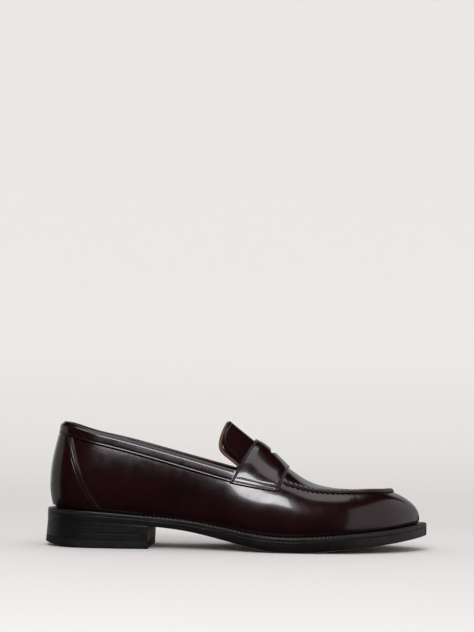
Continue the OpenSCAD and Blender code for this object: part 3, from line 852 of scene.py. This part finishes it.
def make_strap_thread():
    ss = np.linspace(STRAP_BACK, STRAP_FRONT, 60)
    base = strap_base(ss, 230)
    n = grid_normals(base)
    back, front, outer, inner, _ = strap_field(base)
    top = base + (strap_lift(back, front, outer, inner) + STRAP_T - 0.2)[..., None] * n
    rows = []
    for name, field, axis, flip, distance in (
            [("back", back, 0, False, STRAP_ROW), ("front", front, 0, True, STRAP_ROW)]
            + [(f"outer_{k}", outer, 1, False, d) for k, d in enumerate(STRAP_END_ROWS)]
            + [(f"inner_{k}", inner, 1, True, d) for k, d in enumerate(STRAP_END_ROWS)]):
        sheet = [np.flip(a, axis) if flip else a for a in (top, n, field)]
        pts, ups = surface_row(*(np.swapaxes(a, 0, axis) for a in sheet), distance)
        rows.append(row_stitches(f"strap_thread_{name}", pts[6:-6], ups[6:-6], *FINE_ROW))
    return rows


def make_collar():
    ss = np.linspace(15.03, 24.97, 900)[:, None]
    h = wall_h(ss)
    low = (1 - band_v(ss)) * h
    down = np.concatenate([np.linspace(0, 0.35, 5), np.linspace(0.5, 1.6, 4), np.linspace(1.75, 2.2, 5),
                           np.linspace(2.5, 9.2, 16)])[None, :]
    x = low - down * low / BAND_H
    face = (OVER + OVERLAY_T * rounded(down, 0.5) + 0.9 * (1 - x / BAND_H)
            - 1.9 * ease((2.6 - x) / 2.6))
    face = face - 0.22 * bell(down, COLLAR_ROW, 0.35) + 0.05 * unevenness(wall(ss, 1 - x / h), 26, 11)
    outer = wall_at(ss, 1 - x / h, face)
    turn = np.linspace(0, np.pi, 11)[None, 1:-1]
    top_out, top_in = face[:, -1:], 0.45
    mid, half = (top_out + top_in) / 2, (top_out - top_in) / 2
    roll = wall_at(ss, 1 + (0.75 * half * np.sin(turn) - x[:, -1:] * (1 - turn / np.pi)) / h,
                   mid + half * np.cos(turn))
    inside_x = np.array([0.6, 1.4, 2.4, 3.6, 4.6, 4.9])[None, :]
    inside = wall_at(ss, 1 - inside_x / h, np.array([0.1, -0.2, -0.32, -0.35, -0.3, 0.15])[None, :])
    back = wall_at(ss, np.broadcast_to(band_v(ss), ss.shape), OVER - 0.1)
    grid = np.concatenate([outer, roll, inside, back], 1)
    shade = np.zeros(grid.shape[:2])
    # Painted shade along the stitch groove; the rolled top edge darkens too, partly burnished and partly
    # painted shade.
    shade[:, :outer.shape[1]] = np.clip(fade(down, 0.6) + 0.6 * bell(down, COLLAR_ROW, 0.4), 0, 1)
    piece = grid_piece("collar_band_calf", grid, BURGUNDY, wrap_m=True, shade=shade)
    row = ss[::3, 0]
    v = band_v(row) + COLLAR_ROW / wall_h(row)
    thread = row_stitches("collar_thread_row", wall_at(row, v, OVER + OVERLAY_T + 0.06), wall_n(row, v),
                          *LONG_ROW)
    return piece, thread


def counter_front(v):
    return 1.2 + 1.49 * (1 - v) ** 1.1


def make_counter():
    k = dense(-1, 1, 150, (-0.92, 0.92), width=0.03, extra=14)[:, None]
    vv = dense(0.035, 0.985, 60, width=0.02)[None, :]
    top_v = band_v(np.array([20.0]))[0] - 0.004
    v = np.broadcast_to(0.035 + (top_v - 0.035) * (vv - 0.035) / 0.95, (k.shape[0], vv.shape[1]))
    s = 20 + counter_front(v) * k
    base = wall(s, v)
    n = wall_n(s, v)
    a, b, low, _ = border_mm(base)
    edge = np.minimum(a, b)
    depth = OVERLAY_T * rounded(edge, 0.6)
    groove = sum(bell(edge, row, 0.38) for row in COUNTER_ROWS)
    depth = depth - 0.22 * groove + 0.05 * unevenness(base, 30, 17)
    depth = np.where(edge < 1e-6, 0.02, depth)
    # Painted shade in the stitch grooves and at the foot where the counter meets the welt; the cut edges
    # darken too, partly burnished and partly painted shade.
    shade = np.clip(fade(edge, 0.7) + 0.55 * groove + 0.8 * fade(low, 3.0), 0, 1)
    piece = leaf_piece("counter_calf", base + (OVER + depth)[..., None] * n, base + (OVER - 0.1) * n,
                       BURGUNDY, shade)
    rows = []
    top = base + (OVER + OVERLAY_T - 0.12) * n
    for name, sheet in (("outer", (top[::-1], n[::-1], b[::-1])), ("inner", (top, n, a))):
        for i, row in enumerate(COUNTER_ROWS):
            pts, ups = surface_row(*sheet, row)
            rows.append(row_stitches(f"counter_thread_{name}_{i}", pts[3:-2], ups[3:-2], *LONG_ROW))
    return piece, rows


# ---------------------------------------------------------------- tongue

# The tongue rises from the crease and points up and back along its own direction
CREASE = np.array([12.1, 0, 83.1])
TONGUE_A = math.radians(38)
ALONG = np.array([-math.cos(TONGUE_A), 0, math.sin(TONGUE_A)])
OUT = np.array([math.sin(TONGUE_A), 0, math.cos(TONGUE_A)])
# Tongue: root, tip and half width along and across it, then how far its sides hang down
TONGUE_ROOT, TONGUE_TIP, TONGUE_SIDE = -4.0, 25.7, 26.8
TONGUE_SAG, SAG_AT, SAG_POWER = 22.8, 27, 1.8
TONGUE_LEDGE, TONGUE_ROW, FINE_GROOVE = 1.25, 2.7, 0.22


def tongue_half(run):
    """Half width of the tongue at a distance past the strap."""
    root = TONGUE_SIDE - 2 * ease((-4 - run) / 5)
    t = np.clip((run - 9) / (TONGUE_TIP - 9), 0, 1)
    return root * (1 - t ** 3.2) ** (1 / 2.3)


def tongue_surface(run, y, depth):
    share = np.abs(y) / SAG_AT
    sag = TONGUE_SAG * share ** SAG_POWER
    slope = TONGUE_SAG * SAG_POWER * share ** (SAG_POWER - 1) / SAG_AT * np.sign(y)
    n = unit(np.stack([np.ones_like(y), slope], -1))
    out = -sag + depth * n[..., 0]
    return (CREASE + run[..., None] * ALONG + out[..., None] * OUT
            + (y + depth * n[..., 1])[..., None] * np.array([0, 1, 0]))


def make_tongue():
    t = dense(0, 1, 60, width=0.03, extra=10)
    u = dense(-1, 1, 80, width=0.04, extra=12)[None, :]
    root = TONGUE_ROOT - 5 * u ** 2
    run = root + (TONGUE_TIP - root) * (1 - (1 - t) ** 1.6)[:, None]
    y = u * tongue_half(run)
    flat = np.stack([run, y, 0 * y], -1)
    _, _, a, b = border_mm(flat)
    edge = np.minimum(np.minimum(a, b), TONGUE_TIP - run)
    groove = bell(edge, TONGUE_ROW, 0.4)
    top = 0.10 * unevenness(flat, 18, 23) - FINE_GROOVE * groove
    top = top - LEATHER / 2 * (1 - rounded(edge, 0.7))
    # The lining shows as a narrow tan ledge all round the calf
    calf_run, calf_y = run - 1.2 * ease(run / TONGUE_TIP), y * (1 - TONGUE_LEDGE / TONGUE_SIDE)
    under = -LEATHER / 2 - LEATHER / 2 * rounded(edge, 0.7)
    # Painted shade in the stitch groove; the cut edges darken too, partly burnished and partly painted
    # shade.
    outer = leaf_piece("tongue_calf", tongue_surface(calf_run, calf_y, top),
                       tongue_surface(calf_run, calf_y, under), BURGUNDY,
                       np.clip(fade(edge, 0.8) + 0.5 * groove, 0, 1))
    inner = leaf_piece("tongue_lining_calf",
                       tongue_surface(run, y, -LEATHER + 0.25 - 0.27 * rounded(edge, 2.5)),
                       tongue_surface(run, y, -LEATHER - 0.7 - 0.6 * rounded(edge, 0.8)),
                       TONGUE_LINING)
    half = 300
    w = np.linspace(0, 1, half)
    line = TONGUE_TIP - (TONGUE_TIP - 1) * np.concatenate([1 - w, w]) ** 1.6
    side = np.concatenate([tongue_half(line[:half]), -tongue_half(line[half:])])
    d = unit(np.stack([np.gradient(line), np.gradient(side)], -1) + 1e-9)
    inset = TONGUE_ROW + 1
    line, side = line + inset * d[:, 1], side - inset * d[:, 0]
    keep = (line < TONGUE_TIP - 2.5) & (line > 1.5)
    line, side = line[keep], side[keep]
    pts = tongue_surface(line, side, np.full(len(line), -0.1))
    ups = unit(tongue_surface(line, side, np.ones(len(line))) - pts)
    return outer, inner, row_stitches("tongue_thread_row", pts, ups, *FINE_ROW)


# ---------------------------------------------------------------- inside

def make_linings():
    """Quarter, vamp and apron linings, laid against the leather, and the suede grip in the heel."""
    ss = np.linspace(14.35, 25.65, 500)[:, None]
    vv = np.linspace(0.02, 0.985, 40)[None, :]
    wave = 0.15 * unevenness(wall(ss, vv), 30, 31)
    quarter = leaf_piece("quarter_lining_calf", wall_at(ss, vv, 1.0), wall_at(ss, vv, wave), LINING)
    ss = np.linspace(5.35, 14.65, 400)[:, None]
    vamp = leaf_piece("vamp_lining_calf", wall_at(ss, vv, 1.0), wall_at(ss, vv, 0), LINING)
    ss = np.linspace(5.6, 9.92, 160)[:, None]
    ww = np.linspace(0.01, 0.99, 60)[None, :]
    n = arch_n(ss, ww)
    plug = leaf_piece("apron_lining_calf", arch(ss, ww) + 2.1 * n, arch(ss, ww) + 1.1 * n, LINING)
    ss = dense(18.4, 21.6, 80, width=0.05)[:, None]
    vv = dense(0.3, 0.93, 40, width=0.02)[None, :]
    base, n = wall(ss, vv), wall_n(ss, vv)
    edge = np.minimum.reduce(border_mm(base))
    grip = leaf_piece("heel_grip_suede", base - 0.1 * n,
                      base - (0.15 + 0.75 * rounded(edge, 0.8))[..., None] * n, GRIP)
    return quarter, vamp, plug, grip


def across_grid(inset, count_s, count_w):
    """Plan grid inside the feather edge, from the outer to the inner side and from heel to toe."""
    s = TOE / 2 * (1 - np.cos(np.linspace(0.015, math.pi - 0.015, count_s)))
    a, b = (edge_xy(k) - edge_n(k) * (rib(k)[..., 2:3] + inset) for k in (s, N_RIBS - s))
    w = (0.5 - 0.5 * np.cos(np.linspace(0, np.pi, count_w)))[None, :, None]
    return a[:, None] * (1 - w) + b[:, None] * w


# Thickness of the insole, the heel pad and the sock on top
INSOLE_T, PAD_T, SOCK_T = 2.5, 2.1, 0.9


def make_sock():
    plan = across_grid(0.7, 160, 40)
    x = plan[..., 0]
    z = seat_z(x) + INSOLE_T + 0.15 + PAD_T * ease((-60 - x) / 24)
    _, _, a, b = border_mm(with_z(plan, z))
    edge = np.minimum(a, b)
    z = z + SOCK_T - 0.5 * (1 - rounded(edge, 1.5)) - 0.5 * bell(edge, 12, 5) * 0.4
    return leaf_piece("sock_calf", with_z(plan, z + 0.12 * unevenness(with_z(plan, z), 24, 41)),
                      with_z(plan, z - SOCK_T + 0.05), SOCK)


# ---------------------------------------------------------------- bottom

def rib_at_x(x, near_s):
    """Rib position close to near_s where the sole edge has length x."""
    s = np.linspace(near_s - 1, near_s + 1, 400)
    e = edge_xy(s)[:, 0]
    order = np.argsort(e)
    return float(np.interp(x, e[order], s[order]))


HEEL_JOIN = -71.0
JOIN_OUTER, JOIN_INNER = rib_at_x(HEEL_JOIN, 3.5), rib_at_x(HEEL_JOIN, 16.5)


def welt_top(x):
    return height(WELT_LINE, x)


def edge_strip(s, inset, drop):
    """Grid along the sole edge: one row per inset, each at its drop below the welt's upper face."""
    p = edge_xy(s)[:, None] - edge_n(s)[:, None] * np.broadcast_to(inset, (len(s), inset.size))[..., None]
    return with_z(p, welt_top(p[..., 0]) - drop)


# Welt stitches: pitch and distance from the sole edge
WELT_PITCH, WELT_ROW = 3.1, 2.6


def make_welt():
    s, run = even_s(edge_xy, JOIN_OUTER, JOIN_INNER, 1500)
    arc = np.linspace(0, run, len(s))[:, None]
    inset = np.array([9, 6.5, 5.5, 4.6, 4.0, 3.5, 3.1, 2.8, 2.6, 2.4, 2.1, 1.7, 1.3, 0.9, 0.55, 0.28, 0.1, 0,
                      0, 0, 0.0, 0.1, 9.0])[None, :]
    drop = np.array([0.3, 0.1, 0, 0, 0, 0.02, 0.1, 0.22, 0.28, 0.22, 0.1, 0, 0, 0.04, 0.14, 0.3, 0.52, 0.85,
                     1.6, 2.4, 3.08, 3.18, 3.19])[None, :]
    notch = 0.5 + 0.5 * np.cos(2 * np.pi * arc / WELT_PITCH)
    mark = bell(inset, 1.2, 1.5) * (drop < 1.0)
    ring = grid_piece("welt_strip", edge_strip(s, inset, drop + 0.42 * mark * notch ** 2), WELT_EDGE,
                      shade=np.clip(0.2 + mark * notch, 0, 1))
    centre = (np.arange(int(run / WELT_PITCH)) + 0.5) * WELT_PITCH
    s_at = np.interp(centre, arc[:, 0], s)
    n = edge_n(s_at)
    p = edge_xy(s_at) - n * WELT_ROW
    half = 0.5 * -n[:, 1]
    along = unit(np.stack([-n[:, 1], n[:, 0], welt_top(p[:, 0] + half) - welt_top(p[:, 0] - half)], -1))
    up = np.tile([0.0, 0, 1], (len(p), 1))
    thread = stitches("welt_thread_row", with_z(p, welt_top(p[:, 0]) - 0.12), along, square_to(along, up),
                      2.5, 0.75, WELT_THREAD)
    s = np.linspace(JOIN_INNER + 0.01, JOIN_OUTER + N_RIBS - 0.01, 500)
    drop = np.array([0.3, 0.1, 0, 0, 0, 0, 0, 0, 0, 0, 0, 0, 0, 0.04, 0.14, 0.3, 0.52, 0.85, 1.6, 2.4, 2.9,
                     3.12, 3.15])[None, :]
    rand = grid_piece("heel_rand_strip", edge_strip(s, inset, drop), WELT_EDGE,
                      shade=np.full((len(s), inset.size), 0.3))
    return ring, thread, rand


def tread(x):
    return height(TREAD_LINE, x)


def make_outsole():
    s = np.arange(0, N_RIBS, 1 / 40)
    e = edge_xy(s)
    z_top, z_low = welt_top(e[:, 0]) - WELT_T - 0.04, tread(e[:, 0])
    thick = (z_top - z_low)[:, None]
    heel = ease((-62 - e[:, 0]) / 8)[:, None]
    bevel = (0.5 + 1.5 * bell(e[:, 0], 42, 38))[:, None] * (1 - heel) + 0.02 * heel
    flush = 0 * bevel
    inset = np.concatenate([flush + 9.0, flush + 0.1, flush, flush, flush, flush,
                            0.12 * bevel, 0.45 * bevel, 0.95 * bevel], 1)
    up = np.concatenate([thick, thick, thick - 0.25, thick - 0.6, (thick + bevel) / 2, bevel + 0.3,
                         0.86 * bevel, 0.42 * bevel, flush], 1)
    p = e[:, None] - edge_n(s)[:, None] * inset[..., None]
    grid = with_z(p, tread(p[..., 0]) + up)
    grid[:, :5, 2] = (z_low[:, None] + up[:, :5])
    side = grid_piece("outsole_edge", grid[:, :8], SOLE_EDGE, wrap_n=True)
    rim = grid[:, -1]
    pair = np.mod(-np.arange(len(s)), len(s))
    spine = (rim[:, :2] + rim[pair, :2]) / 2
    w = np.linspace(0, 1, 14)[None, :, None]
    plan = rim[:, None, :2] * (1 - w) + spine[:, None] * w
    sheet = np.concatenate([grid[:, 7:-1], with_z(plan, tread(plan[..., 0]))], 1)
    face = grid_piece("outsole_face", sheet, SOLE_FACE, wrap_n=True)
    return side, face


# Heel: its front face, the heights of the joints at the front, and where its back turns up
BREAST, BREAST_SLANT = -68.0, 0.046
BREAST_OUTER, BREAST_INNER = -32.6, 28.6
TOP_PIECE_T, HEEL_TOP = 5.8, 16.2
HEEL_BEND, HEEL_SLOPE = -125.0, 0.126
PINS = ((-138, 0), (-132, 16), (-132, -16), (-110, 24), (-110, -24.5), (-82, 22.5), (-82, -25))


def heel_rise(x):
    """The back of the heel turns up a little from the ground."""
    d = HEEL_BEND - np.asarray(x, float)
    return HEEL_SLOPE * (d + np.sqrt(d * d + 16)) / 2


def breast_x(y):
    return BREAST + BREAST_SLANT * (y + 33)


def heel_outline(inset):
    """Closed outline of the heel block: the sole edge round the back, then straight across the breast."""
    s = np.linspace(JOIN_INNER - 0.5, JOIN_OUTER + N_RIBS + 0.5, 900)
    curve = edge_xy(s) - inset * edge_n(s)
    curve = curve[curve[:, 0] < breast_x(curve[:, 1]) - 0.02][::3]
    t = np.linspace(0, 1, 24)[:, None]
    line = curve[-1] * (1 - t) + curve[0] * t
    line[:, 0] = breast_x(line[:, 1]) - 0.5 * (1 - rounded(np.minimum(t, 1 - t)[:, 0] * 60, 1.2))
    return np.concatenate([curve, line[1:-1]])


def heel_flare(z):
    """The heel widens towards the ground: inset of its side at height z."""
    return 0.1 - 1.05 * (1 - np.clip(z / 20, 0, 1))


def heel_layer(name, z0, z1, material, low=0.12, high=0.12):
    """One layer of the heel with its cut edges just broken, so a fine line shows at each joint."""
    def level(loop):
        return z0(loop[:, 0]) * (1 - share) + z1(loop[:, 0]) * share + lift

    rows = []
    for cut, share, lift in ([(3.0, 0, 0), (low, 0, 0), (low * 0.3, 0, low * 0.3)]
                             + [(0.0, side, 0) for side in (0.1, 0.36, 0.64, 0.9)]
                             + [(high * 0.3, 1, -high * 0.3), (high, 1, 0), (3.0, 1, 0)]):
        loop = heel_outline(heel_flare(float(np.median(level(heel_outline(0))))) + cut)
        k = np.linspace(0, len(loop) - 1, 320)
        loop = resample(loop, np.arange(len(loop)), k)
        rows.append(with_z(loop, level(loop)))
    grid = np.stack(rows, 1)
    n, m = grid.shape[:2]
    faces = grid_faces(n, m, wrap_n=True)
    faces.append([i * m for i in range(n)])
    faces.append([i * m + m - 1 for i in reversed(range(n))])
    return mesh_piece(name, grid, faces, material, 40)


def heel_level(z, share):
    return lambda x: z + share * heel_rise(x)


def make_heel():
    """Top piece, lower lift, upper lift, and the wedge with the leather face of the breast."""
    ground, face, middle, top = (heel_level(*level) for level in (
        (0, 1), (TOP_PIECE_T, 1), ((TOP_PIECE_T + HEEL_TOP) / 2, 0.65), (HEEL_TOP, 0.3)))
    rubber = heel_layer("heel_top_rubber", ground, heel_level(TOP_PIECE_T - 0.02, 1), RUBBER, 0.7, 0.16)
    low = heel_layer("heel_lift_low", face, middle, HEEL_EDGE)
    high = heel_layer("heel_lift_high", middle, top, HEEL_EDGE)
    wedge = heel_layer("heel_wedge", top, lambda x: tread(x) - 0.02, HEEL_EDGE)
    # The breast face takes the sole's underside colour, lightened as painted light for the floor's light on
    # it.
    y = np.linspace(BREAST_OUTER, BREAST_INNER, 60)[:, None]
    z = np.linspace(TOP_PIECE_T + 0.2, float(tread(BREAST)) - 0.15, 20)[None, :]
    grid = np.stack(np.broadcast_arrays(breast_x(y) + 0.1, y, z), -1)
    return rubber, low, high, [wedge, grid_piece("heel_breast", grid, SOLE_FACE)]


def make_pins():
    """Heads of the pins that hold the top piece, just sunk in its face."""
    sides, rings = 24, ((0.72, 1.2), (0.72, 0.34), (0.62, 0.28), (0.3, 0.27))
    pts, faces = [], []
    for k, (x, y) in enumerate(PINS):
        first = k * len(rings) * sides
        grid = np.array([[(x + r * np.cos(t), y + r * np.sin(t), z - 0.35 + float(heel_rise(x)))
                          for t in circle(sides)] for r, z in rings])
        faces += grid_faces(len(rings), sides, False, True, first)
        faces.append([first + (len(rings) - 1) * sides + i for i in range(sides)])
        pts.append(grid.reshape(-1, 3))
    return mesh_piece("top_piece_pins", np.concatenate(pts), faces, BRASS, 40)


# ---------------------------------------------------------------- assembly

def place(pieces, slot, *nodes):
    """The pieces belong to the shoe body and stand for the nodes, whose CAD parts are hidden; slot is not
    used.
    """
    pieces = pieces if isinstance(pieces, (list, tuple)) else [pieces]
    for piece in pieces:
        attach(piece, "shoe")
    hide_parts(*nodes)


place(make_skirt(), "upper_leather", "skirt")
place(make_apron(), "upper_leather", "apron")
place(make_moc_ridge(), "upper_leather")
place(make_moc_thread(), "upper_thread", "moc_thread")
place(make_strap(), "upper_leather", "saddle_strap")
place(make_strap_thread(), "upper_thread", "strap_thread")
for make, nodes in ((make_collar, ("collar_band", "collar_thread")),
                    (make_counter, ("counter_cover", "counter_thread"))):
    for pieces, slot, node in zip(make(), ("upper_leather", "upper_thread"), nodes, strict=True):
        place(pieces, slot, node)
for piece, node in zip(make_linings(), ("quarter_lining", "vamp_lining", "apron_lining", "heel_grip"),
                       strict=True):
    place(piece, "lining_leather", node)
place(make_sock(), "lining_leather", "sock_liner")
for piece, slot, node in zip(make_welt(), ("welt_leather", "welt_thread", "welt_leather"),
                             ("welt", "welt_thread", "heel_rand"), strict=True):
    place(piece, slot, node)
place(make_outsole(), "sole_leather", "outsole")
for pieces, slot, node in zip(make_heel(), ("heel_rubber", "sole_leather", "sole_leather", "sole_leather"),
                              ("heel_top_piece", "heel_lift_lower", "heel_lift_upper", "wedge_lift"),
                              strict=True):
    place(pieces, slot, node)
place(make_pins(), "brass", "top_piece_pin")

for piece, name, node in zip(make_tongue(), ("upper_leather", "lining_leather", "upper_thread"),
                             ("tongue", "tongue_lining", "tongue_thread"), strict=True):
    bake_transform(piece)
    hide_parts(node)

for node, material, name in (
        ("interlining", CLOTH, "interlining_cloth"), ("counter_stiffener", BOARD, "stiffener_board"),
        ("toe_puff", BOARD, "stiffener_board"), ("heel_pad", FOAM, "heel_foam"),
        ("insole", INSOLE, "insole_leather"), ("insole_rib", CLOTH, "interlining_cloth"),
        ("cork_filler", CORK, "cork"), ("shank", STEEL, "steel"), ("heel_nail", STEEL, "steel")):
    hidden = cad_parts[node]
    hidden.data.materials.clear()
    hidden.data.materials.append(material)


# ---------------------------------------------------------------- studio

def make_floor():
    """A pale floor and a bowl beyond it; both stay out of the reflections, as on a dark shelf."""
    def turned(name, profile):
        a = circle(96)[:, None]
        rx, ry, z = np.array(profile).T
        sheet = grid_piece(name, np.stack([rx * np.cos(a), ry * np.sin(a), z + 0 * a], -1) / MM, FLOOR,
                           wrap_n=True)
        return sheet

    rim = (0.40, 0.20, 0)
    turned("floor", [(0.001, 0.0005, 0), (0.2, 0.1, 0), rim]).visible_glossy = False
    sweep = [(1.2 + 2.6 * math.sin(t), 2.6 - 2.6 * math.cos(t)) for t in np.linspace(0, np.pi / 2, 40)]
    turned("bowl", [rim] + [(r, r, z) for r, z in sweep]).visible_glossy = False


def softbox(name, at, to, size, radiance, colour=(1, 1, 1)):
    light = bpy.data.lights.new(name, "AREA")
    light.shape = "RECTANGLE"
    light.size, light.size_y = size
    light.energy = radiance * math.pi * size[0] * size[1]
    light.color = colour
    lamp = bpy.data.objects.new(name, light)
    lamp.location = at
    lamp.rotation_euler = (Vector(to) - Vector(at)).to_track_quat("-Z", "Y").to_euler()
    lamp.visible_camera = False
    bpy.context.scene.collection.objects.link(lamp)
    return lamp


def make_studio():
    """A key lamp, a dim ceiling and three dim cards whose only use is their shine on the leather."""
    def facing(name, turn, rise, away, size, radiance, colour=(1, 1, 1), low=None):
        """A light at turn degrees round the shoe (0 = outer side, 90 = toe) and rise degrees up.

        With low given it is an upright card at that height, which only shows in the gloss."""
        a, e = math.radians(turn), math.radians(rise)
        at = (away * math.cos(e) * math.sin(a), -away * math.cos(e) * math.cos(a),
              away * math.sin(e) if low is None else low)
        lamp = softbox(name, at, (0, 0, 0.04 if low is None else low), size, radiance, colour)
        lamp.visible_diffuse = low is None

    facing("key", -8, 40, 1.45, (0.60, 0.44), 8.8, (0.98, 0.965, 1.0))
    softbox("overhead", (0.12, 0.0, 1.45), (0.1, 0, 0), (1.3, 1.0), 1.15, (1.0, 0.93, 0.98))
    facing("card_toe", 85, 0, 1.1, (2.6, 1.3), 0.40, (1.0, 0.9, 0.94), low=0.34)
    facing("card_heel", -118, 0, 1.2, (1.6, 0.75), 0.27, low=0.10)
    facing("card_back", 180, 0, 2.0, (3.6, 1.2), 0.35, low=0.55)
    world = bpy.data.worlds.new("room")
    world.use_nodes = True
    sky = world.node_tree.nodes["Background"]
    sky.inputs["Color"].default_value = (0.93, 0.915, 0.90, 1)
    sky.inputs["Strength"].default_value = 0.62
    scene = bpy.context.scene
    scene.world = world
    world.cycles_visibility.glossy = False
    scene.view_settings.view_transform = "Standard"


CAMERA_AT, CAMERA_PITCH, CAMERA_ROLL, CAMERA_LENS = (-0.003, -1.1, 0.09), 4.72, 1.0, 79.5


def make_camera():
    lens = bpy.data.cameras.new("camera")
    lens.sensor_fit = "VERTICAL"
    lens.sensor_height = 36
    lens.lens = CAMERA_LENS
    lens.clip_start, lens.clip_end = 0.05, 30
    camera = bpy.data.objects.new("camera", lens)
    pitch, roll = math.radians(90 + CAMERA_PITCH), math.radians(CAMERA_ROLL)
    camera.matrix_world = (Matrix.Translation(CAMERA_AT) @ Matrix.Rotation(pitch, 4, "X")
                           @ Matrix.Rotation(roll, 4, "Z"))
    scene = bpy.context.scene
    scene.collection.objects.link(camera)
    scene.camera = camera


make_floor()
make_studio()
make_camera()
